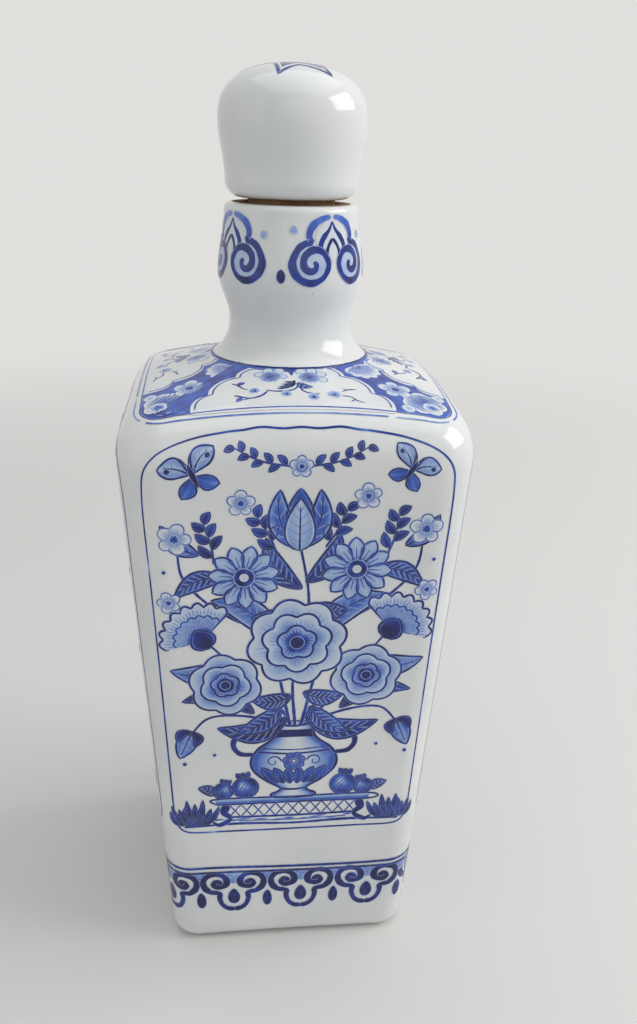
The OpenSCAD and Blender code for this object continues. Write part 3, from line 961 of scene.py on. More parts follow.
# low table for a vase: board, curved legs, and a lattice of crossing lines between them
def table():
    low, wide, high = picture["tableFoot"], picture["tableHalf"], picture["tableTop"]
    x = np.linspace(-wide, wide, 60)
    under, over = (np.stack([x, z + 0 * x], -1) for z in (high - 2.2, high))
    rim = [(-wide, high - 2.2), (-wide, high), (0, high), (wide, high), (wide, high - 2.2), (0, high - 2.2),
           (-wide, high - 2.2)]
    leg = [(wide - 3.5, high - 2.4), (wide - 2.6, high - 5.5), (wide - 4.6, low + 3), (wide - 1.2, low + 0.5),
           (wide + 1, low + 1.8)]
    parts = [ruled(under, over, (0.75, 0.4, 0.12), 2, 3), stroke(rim, 0.75, 0.9)]
    parts += mirrored([stroke(leg, (3.4, 2.6, 1.6, 2, 1), 0.9, 2.4)])
    top, bottom, step = high - 2.4, high - 7.4, 3.6
    for k in range(-5, 6):
        for lean in (-1.8, 1.8):
            bar = [(step * k - lean, bottom), (step * k + lean, top)]
            parts.append(stroke(bar, 0.5, 0.72, 2.2 + lean / 18))
    return parts + [stroke([(-19.5, bottom), (0, bottom - 0.3), (19.5, bottom)], 0.9),
                    stroke([(-17, bottom - 1.6), (0, bottom - 2), (17, bottom - 1.6)], 0.5, 0.6)]


# vase: half widths at heights, filled across with dark sides, bands, upright leaves and scrolled handles
def vase():
    side = smoothLine([(6.6, 0), (6.8, 1.2), (4.4, 2.4), (4.2, 3.8), (8.8, 7), (12.4, 11), (13, 15), (11, 19),
                       (7.4, 22), (5.8, 24.4), (6.3, 26.6), (8.4, 28.4)])
    tones = (0.62, 0.36, 0.16, 0.06, 0.04, 0.08, 0.2, 0.4, 0.62)
    other = side * (-1, 1)
    parts = [ruled(other, side, tones, 2, 16), stroke(side, 0.95, 0.92), stroke(other, 0.95, 0.92)]
    # level lines: half width, height at the sides and in the middle, line width, tone, layer
    for half, z, middle, width, tone, layer in (
            (8.4, 28.4, 27.4, 0.9, 0.92, 2.6), (8.4, 28.4, 29.2, 0.7, 0.9, 2.6),
            (6.6, 0, -0.4, 0.9, 0.92, 2.6), (4.3, 3.4, 2.9, 0.9, 0.85, 2.6), (12, 18, 16.9, 0.8, 0.85, 2.5),
            (10.8, 19.4, 18.4, 0.5, 0.8, 2.5)):
        parts.append(stroke([(-half, z), (0, middle), (half, z)], width, tone, layer))
    band = smoothLine([(6.1, 23.2), (5.8, 24.6), (6, 26)])
    parts.append(ruled(band * (-1, 1), band, (0.95, 0.85, 0.95), 2.3, 10))
    for x in (-7.6, -4.6, -1.55, 1.55, 4.6, 7.6):
        base, tip = (0.62 * x, 5 + 0.06 * abs(x)), (1.32 * x, 11.2 + 0.1 * abs(x))
        parts += blade(base, tip, 3, 0, 1, (0.75, 0.5), 0.9, 0, 2.2)
    parts += daisy((0, 14), 3.6, 7, 0.3, 2.4, (0.5, 0.7))
    parts += mirrored(curl((3.9, 14), 2.4, 1.2, 180, -1, (0.6, 0.5, 0.4)))
    handle = [(12.2, 17), (16.4, 17.6), (18.4, 21), (16.6, 25.2), (12, 26.4), (9.4, 24.6), (10.4, 22.6),
              (12, 23.4)]
    return moved(parts + mirrored([stroke(handle, (1.6, 1.9, 1.5, 1), 0.88)]), (0, picture["tableTop"]))


# ground under a picture: a broken line, short level strokes near it and, by a table, two tufts at each side
def ground(tufts=True):
    low, wide = picture["ground"], picture["groundHalf"]
    parts = [stroke([(-wide, low), (-0.5 * wide, low + 0.7), (0, low), (0.5 * wide, low + 0.6), (wide, low)],
                    (0.7, 1.2, 0.9, 1.3, 0.6), 0.8, 1.6)]
    for k in range(15):
        x, z = -wide + 2 + (2 * wide - 8) * ((k * 0.618) % 1), low + 1.5 + 0.5 * (k % 3)
        reach = 3 + 3 * ((k * 0.37) % 1)
        parts.append(stroke([(x, z), (x + reach, z + 0.2)], (0.5, 1, 0.4), (0.3, 0.55, 0.3), 1.2))
    if tufts:
        for x, height, count in ((3.6 - wide, 12, 7), (wide - 3.6, 11, 7), (0.5 - wide, 8, 5),
                                 (wide - 0.5, 8, 5)):
            parts += tuft(x, low + 0.4, height, count)
    return parts


# bunch of flowers over a vase: garland and butterflies, stems, leaves, then blossoms from back to front
def bunch(flip=False, late=False):
    # what lies on the widest part comes first, because each part lies a little higher than the last
    parts = mirrored(twig([(0, 172.4), (10, 174), (19, 178.2)], 8, 4, 0.6, (0.8, 0.5)))
    parts += blossom((0, 172.6), 3, 5, 0.3, 2.4)
    parts += moved(butterfly(0.9, 24), (-28, 170), deeper=1)
    parts += moved(butterfly(0.78, -32), (29, 171), deeper=1)
    for stem in ([(0, 89), (-1, 104), (0, 118)], [(-1, 89), (-6, 97), (-19, 104)],
                 [(1, 89), (7, 98), (20, 106)], [(-1.4, 88.6), (-7, 116), (-15, 139)],
                 [(1.6, 88.6), (8, 118), (16, 141)], [(1, 112), (3, 132), (0, 151)],
                 [(-3.2, 88.8), (-15, 107), (-27, 121)], [(3.4, 88.8), (17, 109), (27, 123)],
                 [(-2, 89), (-14, 93), (-25, 93), (-31, 87)], [(2, 89), (14, 94), (25, 95), (31, 89)],
                 [(-3, 120), (-20, 128), (-31, 139), (-33, 150)],
                 [(3, 120), (21, 130), (32, 141), (34, 152)]):
        parts.append(stroke(stem, (1.2, 0.9, 0.7), 0.85, 1.5))
    # leaves in pairs, left and right: base and tip of each, then the width and bow of both
    for k, (left, right, width, bow) in enumerate((
            ((-2, 92, -23, 89), (3, 92, 25, 90), 7.4, 0.18), ((-4, 96, -17, 87), (4, 96, 16, 86), 6, 0.1),
            ((-6, 119, -24, 133), (6, 120, 25, 134), 8, -0.14),
            ((-2, 128, -13, 127), (3, 130, 14, 129), 6, 0.1), ((1, 136, -9, 152), (2, 138, 11, 153), 6, 0.14),
            ((-18, 112, -36, 110), (19, 113, 37, 112), 7, 0.16),
            ((-12, 94, -33, 99), (13, 95, 34, 101), 6.4, -0.18),
            ((-20, 140, -34, 134), (21, 142, 35, 136), 5.4, -0.15),
            ((-27, 147, -37, 156), (29, 149, 38, 158), 4.6, 0.12),
            ((-1, 100, -13, 99), (2, 101, 14, 100), 5.4, 0.14))):
        tones = ((0.98, 0.78), (0.84, 0.6), (0.55, 0.34))[k % 3]
        for leaf, bend in ((left, bow), (right, -bow)):
            parts += blade(leaf[:2], leaf[2:], width, bend, 0.9, tones, 0.95, 6, 1.6 + 0.64 * (k % 2))
    for motif, at, turn in ((carnation(1.08), (-25.6, 118.6), 34), (carnation(1.08), (25.8, 120.6), -34),
                            (bud(10.5), (-30.5, 88), 158), (bud(10.5), (30.5, 90), -158),
                            (tulip(18, 15), (0, 148), 0)):
        parts += moved(motif, at, turn, deeper=1)
    parts += peony((-20.5, 104.5), 10.6, 6, 0.3, 3, 1.3) + peony((20.5, 106.5), 10.6, 6, 0.9, 3, 1.3)
    if late:
        parts += peony((-15, 140), 9.4, 6, 0.5, 3) + peony((16, 142), 9.4, 6, 1.1, 3)
        parts += daisy((0, 119), 14, 13, 0.1, 4)
    else:
        parts += daisy((-15, 140), 9.8, 11, 0.2, 3) + daisy((16, 142), 9.8, 11, 0.5, 3)
        parts += peony((0, 118.5), 14.4, 8, 0.2, 4)
    for x, z, turn in ((-10, 155, 26), (11, 157, -26), (-25, 153, 12), (26, 155, -12)):
        parts += moved(twig([(0, -9), (0.6, -3), (0, 5)], 6, 5.6, 0.6, (0.9, 0.7), 2.1), (x, z), turn)
    parts += littleBlossoms(((-33.5, 152, 4.4), (34.5, 154, 4.4), (-15.8, 162.3, 3.6), (18, 164, 3.6),
                             (-35.6, 132.5, 3.2), (36.2, 135, 3.2)))
    parts += moved(fruit(4, False), (-14.8, 65.8), 8) + moved(fruit(3.1), (-21.6, 64.8), -12, flip=True)
    parts += moved(fruit(4, False), (15.4, 65.8), -8) + moved(fruit(3), (21.8, 64.6), 12)
    for x, z, radius in ((-36.6, 142, 0.7), (37.4, 144.5, 0.7), (-33, 76, 0.8), (34, 78, 0.8), (-24, 79, 0.7),
                         (25, 81, 0.7)):
        parts.append(wash(ring((x, z), radius), (0.85, 0.7), 2))
    return moved(parts, flip=flip)


# tall plant for a side wall: a bending stem with leaves, blossoms by turns and a tulip at its tip
def tallPlant(flip=False, late=False):
    stem = [(2, 51), (-2, 66), (5, 84), (-4, 104), (5, 124), (-3, 144), (1, 158)]
    parts = [stroke(stem, (3, 2.6, 1.8, 1.2), 0.9, 1.5)]
    # leaves: base, tip, bow and layer
    for base, tip, bow, layer in (
            ((-1, 62), (-24, 76), 0.16, 1.6), ((1, 74), (24, 78), -0.2, 1.6), ((2, 91), (25, 103), 0.16, 1.6),
            ((-2, 96), (-27, 98), -0.18, 1.6), ((0, 112), (-23, 121), 0.15, 1.6),
            ((4, 118), (27, 117), -0.16, 1.6), ((0, 134), (22, 142), -0.14, 1.6),
            ((-1, 148), (-22, 160), 0.14, 1.6), ((-1, 68), (-18, 62), 0.12, 2.24),
            ((3, 80), (22, 88), 0.12, 2.24), ((-3, 104), (-19, 110), 0.1, 2.24),
            ((3, 128), (20, 133), -0.12, 2.24)):
        parts += blade(base, tip, 8.6, bow, 0.85, (0.92, 0.64), 0.95, 6, layer)
    for branch in ([(3, 80), (-6, 88), (-14, 88)], [(-3, 102), (6, 110), (14, 112)],
                   [(4, 126), (-4, 134), (-12, 136)], [(-3, 144), (7, 149.5), (17, 151)],
                   [(-1, 58), (12, 61), (23, 66)]):
        parts.append(stroke(branch, (1.3, 0.9), 0.86, 1.6))
    parts += peony((-16, 86), 12.6, 7, 0, 3)
    parts += daisy((16, 113), 11.6, 12, 0.2, 3) if late else peony((16, 113), 11.6, 7, 0.4, 3, 1.25)
    parts += peony((-15, 137), 10.8, 6, 0.8, 3)
    for motif, at, turn in ((tulip(19, 15), (1, 155), 0), (bud(10), (17, 151), -58), (bud(10), (-25, 77), 55),
                            (carnation(1.05), (24, 88), -48), (fruit(4.4, False), (26, 69), -14),
                            (butterfly(1, 20), (-26, 170), 0), (butterfly(0.8, -28), (26, 171), 0)):
        parts += moved(motif, at, turn, deeper=1)
    parts += littleBlossoms(((-31, 112, 4.2), (32, 134, 4.2), (-30, 150, 3.6), (31, 96, 3.4), (-31, 64, 3.6)))
    for x, height in ((-24, 12), (-13, 15), (12, 12), (23, 15)):
        parts += tuft(x, 51, height)
    for side, x, z in ((1, -31, 120), (-1, 33, 143)):
        sprig = twig([(0, 0), (3 * side, 9), (side, 18)], 7, 6.5, 0.7, (0.9, 0.7))
        parts += moved(sprig, (x, z), 8 * side)
    return moved(parts, flip=flip)


# thin frame round a picture, which follows the wall's own edges, with a few worn places
def frameLine():
    right = [(0, 182.5), (5, 182.2), (11, 182.5), (16, 181.8), (20, 181.4), (28, 180), (34.5, 177.8),
             (38.6, 175), (41, 170.6), (41.6, 164), (41.4, 155), (40.6, 140), (39.2, 110), (37.8, 75),
             (37, 57), (36, 51.4), (32, 48.5), (20, 48.3)]
    points = right + [(0, 48.2)] + [(-x, z) for x, z in right[:0:-1]]
    place = np.arange(90)
    worn = 0.8 + 0.1 * np.sin(1.7 * place) - 0.45 * (place % 23 == 4)
    return [stroke(smoothLine(points, True), (0.6, 0.75, 0.55, 0.8, 0.65, 0.5, 0.6), worn, 2, True)]


# drop: an oval whose upper end is drawn to a soft point
def drop(at, width, height, point):
    t = np.linspace(0, 2 * math.pi, 41)
    pinch = np.abs(np.sin(t / 2)) ** point
    return np.array(at, float) + np.stack([width / 2 * np.sin(t) * pinch, height / 2 * np.cos(t)], -1)


# the band round the foot, in millimetres: its motifs stand at one pitch, as measured at one height
band = {"count": 14, "pitch": 22.05, "first": 3.3, "height": 25}


# length of one side at a height, from the middle of one corner to the next
def bandSide(z=band["height"]):
    return 2 * (halfWidth(z) - cornerRadius(z)) + math.pi / 2 * cornerRadius(z)


# the band keeps its count round the tapering foot, so its distances shrink with the wall
def bandPoint(p, z):
    return wallPoint(p * bandSide(z) / bandSide(), z)


# one motif of the band: a round lobe that runs up into a scroll at each side, with a drop inside
def lappet():
    scroll = [(-0.3, 13.9), (2.1, 14.4), (3.9, 16.1), (4.75, 18.9), (4.6, 21), (5.6, 21.6), (7.7, 22.1),
              (9.4, 24.1), (9.8, 26.7), (8.6, 28.9), (6.1, 29.8), (3.5, 29.1), (2.2, 27.2), (2.4, 25.2),
              (3.8, 24.2), (5.6, 24.2), (6.5, 25.2), (6.2, 26.5)]
    widths, tones = (2, 1.9, 1.8, 2.1, 2.4, 2.3, 2.1, 2.2, 2.5, 2.4, 1.8), (1, 0.96, 1, 0.98)
    eye = wash(ring((5.4, 25.6), 1.95), (1, 0.97), 2.45, rim=0.1)
    parts = mirrored([stroke(scroll, widths, tones, 2.5), eye])
    between = [(-2.6, 30.2), (2.6, 30.2), (1.6, 28.4), (1.1, 25.6), (-1.1, 25.6), (-1.6, 28.4)]
    return parts + [wash(drop((0, 19.8), 4.7, 7, 0.35), (1, 1), 2.6), wash(between, (0.36, 0.4, 0.3), 1.6)]


# two lines and the motifs that fall on one side of the jug, each with a drop and a small wash to its right
def footBand(face):
    side = bandSide()
    parts, shares = [], np.array([-0.5, -0.3, 0, 0.3, 0.5]) * side
    for heights, width, tone, layer in (((32.6, 32.8, 32, 31.8, 32.6), 1.1, 0.82, 2),
                                        ((30.6, 30.7, 30.2, 30, 30.6), 0.95, 0.9, 2.8)):
        parts.append(stroke(list(zip(shares, heights)), width, tone, layer))
    whole, share = band["count"] * band["pitch"], band["count"] * band["pitch"] / 4
    between = [(-3.6, 30.4), (3.6, 30.4), (2.2, 28.8), (1.2, 26.6), (-1.2, 26.6), (-2.2, 28.8)]
    for k in range(band["count"]):
        at = band["first"] + band["pitch"] * k - share * face
        at -= whole * (at > share / 2)
        if -share / 2 <= at < share / 2:
            parts += moved(lappet(), (at, 0))
            parts.append(wash(drop((at + 11, 18.4), 3.5, 7.2, 0.25), (1, 0.98), 2.6))
            parts += moved([wash(between, (0.34, 0.38, 0.3), 1.6)], (at + 11, 0))
    return parts


# neck motif, in millimetres round the neck: an arch on two scrolls, with flames inside, a drop and two dots
def trefoil():
    turn = np.radians([92, 72, 45, 0, -45, -90, -135, -180, -225, -262, -305, -350, -395, -440, -490, -540,
                       -590])
    reach = np.array([5.7, 5.5, 5.25, 5.15, 5, 4.9, 4.85, 5, 4.5, 3.7, 2.8, 2.2, 2, 1.9, 1.7, 1.3, 0.8])
    scroll = (6.7, 219.9) + reach[:, None] * direction(turn)
    arch = smoothLine(np.vstack([[(0.5, 232), (3, 231.5), (5.6, 230.2), (7, 228.2), (7.1, 226.6)], scroll]))
    widths = (1.5, 2.1, 2.3, 2.1, 1.9, 2.1, 2.4, 2.5, 2.3, 2, 1.7, 1.7, 1.9, 2.1, 2.3, 2.3, 2, 1.7)
    flame = [(0, 230.9), (1, 228.8), (2.9, 226.7), (3.9, 224.8), (3.5, 223)]
    half = [stroke(arch, widths, (0.42, 0.62, 0.9, 0.97, 0.92, 0.96, 0.9, 0.97)),
            wash(ring((6.7, 219.9), 4.4), (0.14, 0.17, 0.2), 1.6),
            stroke(flame, (0.5, 1, 1.7, 1.6, 1.2), (0.85, 0.95), 2.3),
            stroke([(0, 226.5), (1.2, 225), (2, 223.2), (1.9, 222.2)], (1.2, 1, 1), 0.92, 2.4)]
    inside = [(0, 231.6), (3.6, 229.8), (5.3, 227.2), (4.8, 224.8), (2, 223.6), (0.5, 220.6), (-0.5, 220.6),
              (-2, 223.6), (-4.8, 224.8), (-5.3, 227.2), (-3.6, 229.8)]
    beside = [wash(drop((-14.8, 216.7), 2.7, 4, 0.2), (1, 0.95), 2.2)]
    beside += [wash(ring(at, 1.3), (0.33, 0.26), 2) for at in ((-20, 227.1), (-11.6, 228.6))]
    return [wash(inside, (0.05, 0.03), 1.8)] + mirrored(half) + beside


# how far the motif spreads round the neck, in millimetres for a degree, and the direction it stands in
neckMotif = {"perDegree": 0.354, "direction": 30.5}


# millimetres round the neck become degrees to the right of the front
def neckArc(s, z):
    return neckPoint(s / neckMotif["perDegree"] + neckMotif["direction"], z)


# an edge drawn a little inside another, both seen from one centre
def shrunk(line, centre, inset):
    away = line - np.array(centre, float)
    return centre + away * (1 - inset / np.hypot(*away.T))[:, None]


# part of a square with round corners, as a line in plan in front of the axis
def squareLine(width, corner, span=(-135, -45)):
    turn = np.radians(np.linspace(*span, 150))
    return squareDistance(width, corner, turn)[:, None] * direction(turn)


# pale motifs on the dark corner of the shoulder: a fan petal, a blossom, a hatched shell and two round spots
def cornerFlowers():
    shell = ring((34.3, -34.9), 6.3, 7, 0.13, 0.3)
    parts = fanPetal((17.1, -17.1), -45, 8.4) + blossom((27.3, -29), 4.6, 5, 0.5)
    parts += [wash(shell, (0.5, 0.46, 0.38, 0.3, 0.16, 0.02), 1),
              wash(ring((36, -37), 2.6, 5, 0.16, 0.4), (0.7, 0.5, 0.3, 0.04), 1.7)]
    parts += hatch((34.3, -34.9), 5.6, 9, -38, 0.86, 0.55, 1.5)
    for at in ((29.2, -39.4), (38.9, -30.6)):
        parts += outlined(ring(at, 1.9), (0.3, 0.14, 0.03), 0.9, 0.4, 0.4, 0.1)
    return parts


# radii and half widths in plan of the shoulder's dark ground and of the two lines round it, in millimetres
shoulder = {"inner": 23.2, "outer": 41.5, "corner": 6.5, "lineWidth": 41.8, "lineCorner": 6.8,
            "edgeWidth": 43.5, "edgeCorner": 9.5}


# shoulder: patchy dark ground in a quarter ring, a white field with lobed ends and a spray in it, and flowers
def shoulderQuarter():
    turn = np.radians(np.linspace(-135, -45, 110))
    arc = direction(turn)
    edge = squareDistance(shoulder["outer"], shoulder["corner"], turn)[:, None] * arc
    grid, level, layer = ruled(shoulder["inner"] * arc, edge, (0.6, 0.66, 0.58, 0.64), 0, 22)
    x, y = grid[..., 0], grid[..., 1]
    patchy = 1 + 0.08 * np.sin(0.9 * x + 0.4 * y) + 0.07 * np.sin(1.7 * y - 0.8 * x)
    middle = (-1.5, -31)
    lobes = [[(0, -23.3), (5, -22.8), (11.2, -20.6)],
             [(11.2, -20.6), (13.2, -21.8), (14.5, -23.3), (15, -25.2)],
             [(15, -25.2), (18, -25.9), (20.6, -28), (22.1, -30.8), (22.5, -33.6)],
             [(22.5, -33.6), (25, -34.7), (26.6, -37.2), (27, -40.2), (26.7, -42.5)],
             [(26.7, -42.5), (14, -42.6), (0, -42.6)]]
    right = np.vstack([smoothLine(points)[:-1] for points in lobes] + [[(0, -42.6)]])
    field = np.vstack([right, (right * (-1, 1))[-2::-1]]) + (middle[0], 0)
    inner = shrunk(field, middle, 1.25)
    parts = [(grid, level * patchy, layer), stroke(23.1 * arc, 0.75, 0.95, 3),
             wash(field, (0, 0, 0, 0.03), 1, middle),
             stroke(inner[inner[:, 1] > -40.7], 0.55, (0.6, 0.75, 0.55), 1.6)]
    parts += spray() + cornerFlowers()
    parts.append(stroke(squareLine(shoulder["lineWidth"], shoulder["lineCorner"]), 0.45,
                        (0.66, 0.78, 0.6, 0.76, 0.66), 1.4))
    for span, width, tone in (((-134, -62), 0.42, (0.5, 0.62, 0.3, 0.55)),
                              ((-60, -46), 0.38, (0.25, 0.5, 0.4))):
        line = squareLine(shoulder["edgeWidth"], shoulder["edgeCorner"], span)
        parts.append(stroke(line, width, tone, 1.2))
    return parts


# spray in the white field: two blossoms at the neck, a comb leaf, and twigs with small round flowers
def spray():
    root = [(-2.6, -22.9), (2.8, -22.9), (1.2, -24.6), (0.3, -27), (-0.8, -24.8)]
    parts = [wash(root, (0.85, 0.8, 0.6), 1.5)]
    for centre, tips in (((-5.6, -26.9), ((-3.1, -24.1, 1.4), (-6.1, -23.6, 1.3), (-8.6, -25.2, 1.3),
                                          (-2.3, -27.2, 1.2))),
                         ((5, -27.6), ((2.9, -24.7, 1.5), (5.9, -23.9, 1.4), (8.5, -25.4, 1.4),
                                       (8.7, -28.6, 1.3)))):
        for x, y, radius in tips:
            parts += outlined(ring((x, y), radius), (0.12, 0.04), 2, 0.36, 0.42, 0.2)
        parts.append(wash(ring(centre, 3.2, 9, 0.14), (0.66, 0.6, 0.5, 0.3), 2.3))
        parts.append(rays(centre, 0.8, 3.6, 26, tone=0.72, layer=2.5))
        parts += hatch(centre, 2.2, 5, 20, 0.9, 0.5, 2.6)
    comb = [(0.7, -29.2), (0.4, -31.4), (-1.2, -33), (-3.6, -33.9)]
    parts.append(stroke(comb, (0.7, 1.3, 1.1, 0.7), 0.92, 2.2))
    for x, y, tip in ((0.5, -30, (-2.2, -30)), (0.2, -31, (-3, -31.2)), (-0.4, -32, (-3.8, -32.3)),
                      (-1.4, -33, (-4.4, -33.3))):
        parts += blade((x, y), tip, 1, 0.1, 0.8, (0.95, 0.9), 0, 0, 2.2)
    # twigs: points, widths, tone and layer
    for points, widths, tone, layer in (
            ([(-7.2, -34.1), (-4.4, -34.9), (-1.4, -34.9), (0.9, -33.6), (1.8, -31)], (0.6, 0.8, 0.6),
             (0.9, 0.8, 0.5), 2.1),
            ([(2, -33), (2.8, -35), (4.8, -36.2), (7.2, -36.4)], (0.5, 0.7, 0.5), 0.82, 2.1),
            ([(-16.2, -28.8), (-14.5, -30.3), (-13, -32.5), (-11.8, -33)], (0.5, 0.6, 0.4), 0.85, 2),
            ([(-15.6, -35.6), (-13.4, -36.9), (-11.2, -37.8), (-8.4, -36.8), (-6.7, -34.6)],
             (0.7, 0.6, 0.9, 0.6), 0.88, 2),
            ([(-13.4, -38.4), (-11.2, -37.8)], (0.6, 0.4), 0.8, 2),
            ([(13, -36.7), (15.4, -37), (16.8, -38.6), (18.9, -39.4)], (0.6, 0.5, 0.6, 0.4), 0.82, 2),
            ([(16.4, -38.2), (15, -39.5)], (0.5, 0.3), 0.8, 2),
            ([(13.2, -34.6), (14.6, -33.4), (17.3, -32.4)], (0.4, 0.6, 0.4), 0.75, 2),
            ([(14.8, -33.3), (13.4, -32.6)], (0.5, 0.3), 0.7, 2)):
        parts.append(stroke(points, widths, tone, layer))
    parts += blade((1.4, -30.6), (5.6, -32.8), 2.3, -0.2, 0.8, (0.9, 0.5), 0.85, 3, 2.2)
    for x, y, radius, tone in ((-1.8, -36.4, 1.7, 0.4), (5.3, -37.9, 1.8, 0.35), (10.9, -36.3, 2.1, 0.35),
                               (-10.2, -34, 1.7, 0.55)):
        parts.append(wash(ring((x, y), radius, 8, 0.12), (tone + 0.2, tone, 0.2), 2.2))
        parts.append(wash(ring((x + 0.1, y - 0.2), 0.42 * radius), (0.88, 0.8), 2.5))
    parts += blade((-14.6, -30.2), (-12.6, -29.2), 1.3, 0.1, 0.9, (0.6, 0.5), 0.7, 0, 2.1)
    parts += blade((-13.8, -37), (-15, -39), 1.2, 0.1, 0.9, (0.5, 0.4), 0.7, 0, 2.1)
    return moved(parts, (-1.5, 0))


# six-pointed star on the knob, drawn with tips and notches by turns, a pale line inside it and a rosette
def knobStar():
    turn = np.radians([-18, 4, 35, 57, 93, 120, 150, 177, 205, 232, 272, 304])
    reach = np.array([15.5, 9.9, 15.5, 6.9, 15, 8, 15.4, 9.6, 15.4, 8, 15, 6.5])
    corners = reach[:, None] * direction(turn - math.pi / 2)
    share = np.linspace(0, 1, 14, endpoint=False)[:, None]
    line = np.vstack([lerp(a, b, share) for a, b in zip(corners, np.roll(corners, -1, 0))] + [corners[:1]])
    parts = [wash(line, (0.1, 0.2, 0.55, 0.85, 0.9, 0.94), 1, (0, 0)),
             ruled(0.8 * line, 0.93 * line, (0.03, 0.03), 1.4, 2),
             stroke(line, 1.05, 0.92, 2, True)]
    parts.append(rays((0, 0), 4.6, 8.4, 48, tone=0.8, layer=1.5, edge=(6, 0.22, math.radians(-21.5))))
    return parts + daisy((0, 0), 5, 8, 0.2, 2)


# rectangles put in rows on a square map, the tallest first, at the greatest scale that still fits
def shelves(width, height, mapSize):
    order, scale = np.argsort(-height), paint["mapScale"]
    while True:
        corner, x, y, row = np.zeros((len(width), 2)), 0, 0, 0
        for i in order:
            w, h = width[i] * scale + paint["gap"], height[i] * scale + paint["gap"]
            if x + w > mapSize:
                x, y, row = 0, y + row, 0
            corner[i], x, row = (x, y), x + w, max(row, h)
        if y + row <= mapSize and width.max() * scale + paint["gap"] <= mapSize:
            return scale, corner
        scale *= paint["mapShrink"]


# points of a drawing on their surface, lifted along its normal, the cross product of two short steps
def laidOn(surface, flat, lift):
    u, v, e = flat[:, 0], flat[:, 1], paint["reach"]
    normal = np.cross(surface(u + e, v) - surface(u - e, v), surface(u, v + e) - surface(u, v - e))
    normal /= np.linalg.norm(normal, axis=-1, keepdims=True)
    return surface(u, v) + normal * lift[:, None], normal


# a grid, or a stack of grids, in blocks of a few dozen faces each way, with their tones
def blocksOf(grid, tone):
    size = paint["cut"]
    if grid.ndim == 3:
        grid, tone = grid[None], tone[None]
    for i in range(0, grid.shape[1] - 1, size):
        for j in range(0, grid.shape[2] - 1, size):
            here = (slice(None), slice(i, i + size + 1), slice(j, j + size + 1))
            yield grid[here], tone[here]


# the faces of a stack of grids, as quads that all run the same way round in the drawing
def quadsOf(block):
    index = np.arange(block[..., 0].size).reshape(block.shape[:3])
    corners = [index[:, :-1, :-1], index[:, 1:, :-1], index[:, 1:, 1:], index[:, :-1, 1:]]
    quads = np.stack(corners, -1).reshape(-1, 4)
    corner = block.reshape(-1, 2)[quads]
    a, b = corner[:, 2] - corner[:, 0], corner[:, 3] - corner[:, 1]
    turned = a[:, 0] * b[:, 1] - a[:, 1] * b[:, 0] < 0
    quads[turned] = quads[turned][:, ::-1]
    return quads


# places of a stack of grids on rectangles for the map: millimetres along and across, the longer way first
def rectanglesOf(block):
    down = np.linalg.norm(np.diff(block, axis=1), axis=-1).mean(2).cumsum(1)
    over = np.linalg.norm(np.diff(block, axis=2), axis=-1).cumsum(2)
    over = np.take_along_axis(over, over[:, :, -1].argmax(1)[:, None, None], 1)[:, 0]
    down, over = (np.pad(side, ((0, 0), (1, 0))) for side in (down, over))
    place = np.stack(np.broadcast_arrays(down[:, :, None], over[:, None, :]), -1)
    longer = down[:, -1] >= over[:, -1]
    return np.where(longer[:, None, None, None], place, place[..., ::-1]).reshape(len(block), -1, 2)


# every rectangle's own room on the map, as places from 0 to 1
def packed(places, mapSize):
    boxes = np.vstack([place[:, -1] for place in places])
    scale, corner = shelves(boxes[:, 0], boxes[:, 1], mapSize)
    sizes = np.concatenate([np.full(len(place), place.shape[1]) for place in places])
    owner = np.repeat(np.arange(len(boxes)), sizes)
    flat = np.vstack([place.reshape(-1, 2) for place in places])
    return (flat * scale + corner[owner] + paint["gap"] / 2) / mapSize, scale


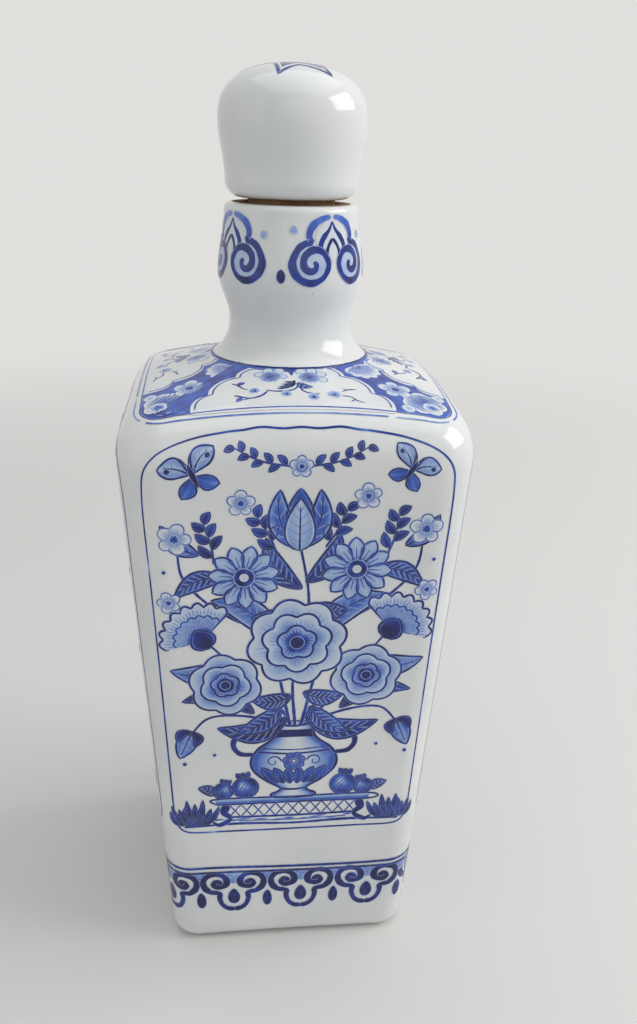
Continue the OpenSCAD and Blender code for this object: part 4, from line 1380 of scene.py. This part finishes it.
# one painted piece: every grid becomes quads that face outward, with a tone and a place on the map
def paintPiece(name, groups, face, rider, mapSize):
    points, normals, tones, quads, places = [], [], [], [], []
    start = order = 0
    for parts, surface in groups:
        flats, lifts = [], []
        for grid, tone, layer in parts:
            lift = paint["lift"] + paint["layerStep"] * layer + paint["orderStep"] * order
            for block, level in blocksOf(grid, tone):
                quads.append(quadsOf(block) + start)
                flats.append(block.reshape(-1, 2))
                lifts.append(np.full(len(flats[-1]), lift))
                tones.append(level.reshape(-1))
                places.append(rectanglesOf(block))
                start += len(flats[-1])
            order += 1
        point, normal = laidOn(surface, np.vstack(flats), np.concatenate(lifts))
        points.append(point)
        normals.append(normal)
    c, s = math.cos(face * math.pi / 2), math.sin(face * math.pi / 2)
    spin = np.array([[c, s, 0], [-s, c, 0], [0, 0, 1]])
    points, normals, quads = np.vstack(points) @ spin, np.vstack(normals) @ spin, np.vstack(quads)
    flatMap, scale = packed(places, mapSize)
    mesh = bpy.data.meshes.new(name)
    mesh.from_pydata((points * millimetre).tolist(), [], quads.tolist())
    mesh.shade_smooth()
    mesh.attributes.new("tone", "FLOAT", "POINT").data.foreach_set("value", np.concatenate(tones))
    mesh.uv_layers.new(name="OFBake").data.foreach_set("uv", flatMap[quads.reshape(-1)].reshape(-1))
    mesh.normals_split_custom_set_from_vertices(normals.tolist())
    mesh.update()
    piece = bpy.data.objects.new(name, mesh)
    scene.collection.objects.link(piece)
    mesh.materials.append(glazedMaterial(name + "Cobalt", True))
    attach(piece, rider)
    print("stage:", name, len(quads), "faces, map scale", round(scale, 2))


buildCamera()
buildStage()
bottle = buildBottle()
bottle.data.materials.append(glazedMaterial("jugGlaze", False))
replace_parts(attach(bottle, "jug"), "bottle")
print("stage: bottle", len(bottle.data.polygons), "faces")
knobPiece = buildKnob()
knobPiece.data.materials.append(glazedMaterial("knobGlazeFinish", False))
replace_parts(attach(knobPiece, "stopper"), "stopper_head")
corkPiece = buildCork()
corkPiece.data.materials.append(corkMaterial())
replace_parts(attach(corkPiece, "stopper"), "stopper_cork")

# a picture for each side, and the same ornaments above and below it
pictures = {"paintedFront": table() + vase() + ground() + bunch(),
            "paintedRight": ground(tufts=False) + tallPlant(),
            "paintedBack": table() + vase() + ground() + bunch(True, True),
            "paintedLeft": ground(tufts=False) + tallPlant(True, True)}
for face, (name, drawing) in enumerate(pictures.items()):
    groups = [(frameLine() + drawing, wallPoint), (footBand(face), bandPoint), (trefoil(), neckArc),
              (shoulderQuarter(), topPoint)]
    paintPiece(name, groups, face, "jug", paint["wallMap"])
paintPiece("paintedKnob", [(knobStar(), knobPoint)], 0, "stopper", paint["knobMap"])
print("stage: stopper", len(knobPiece.data.polygons) + len(corkPiece.data.polygons), "faces")
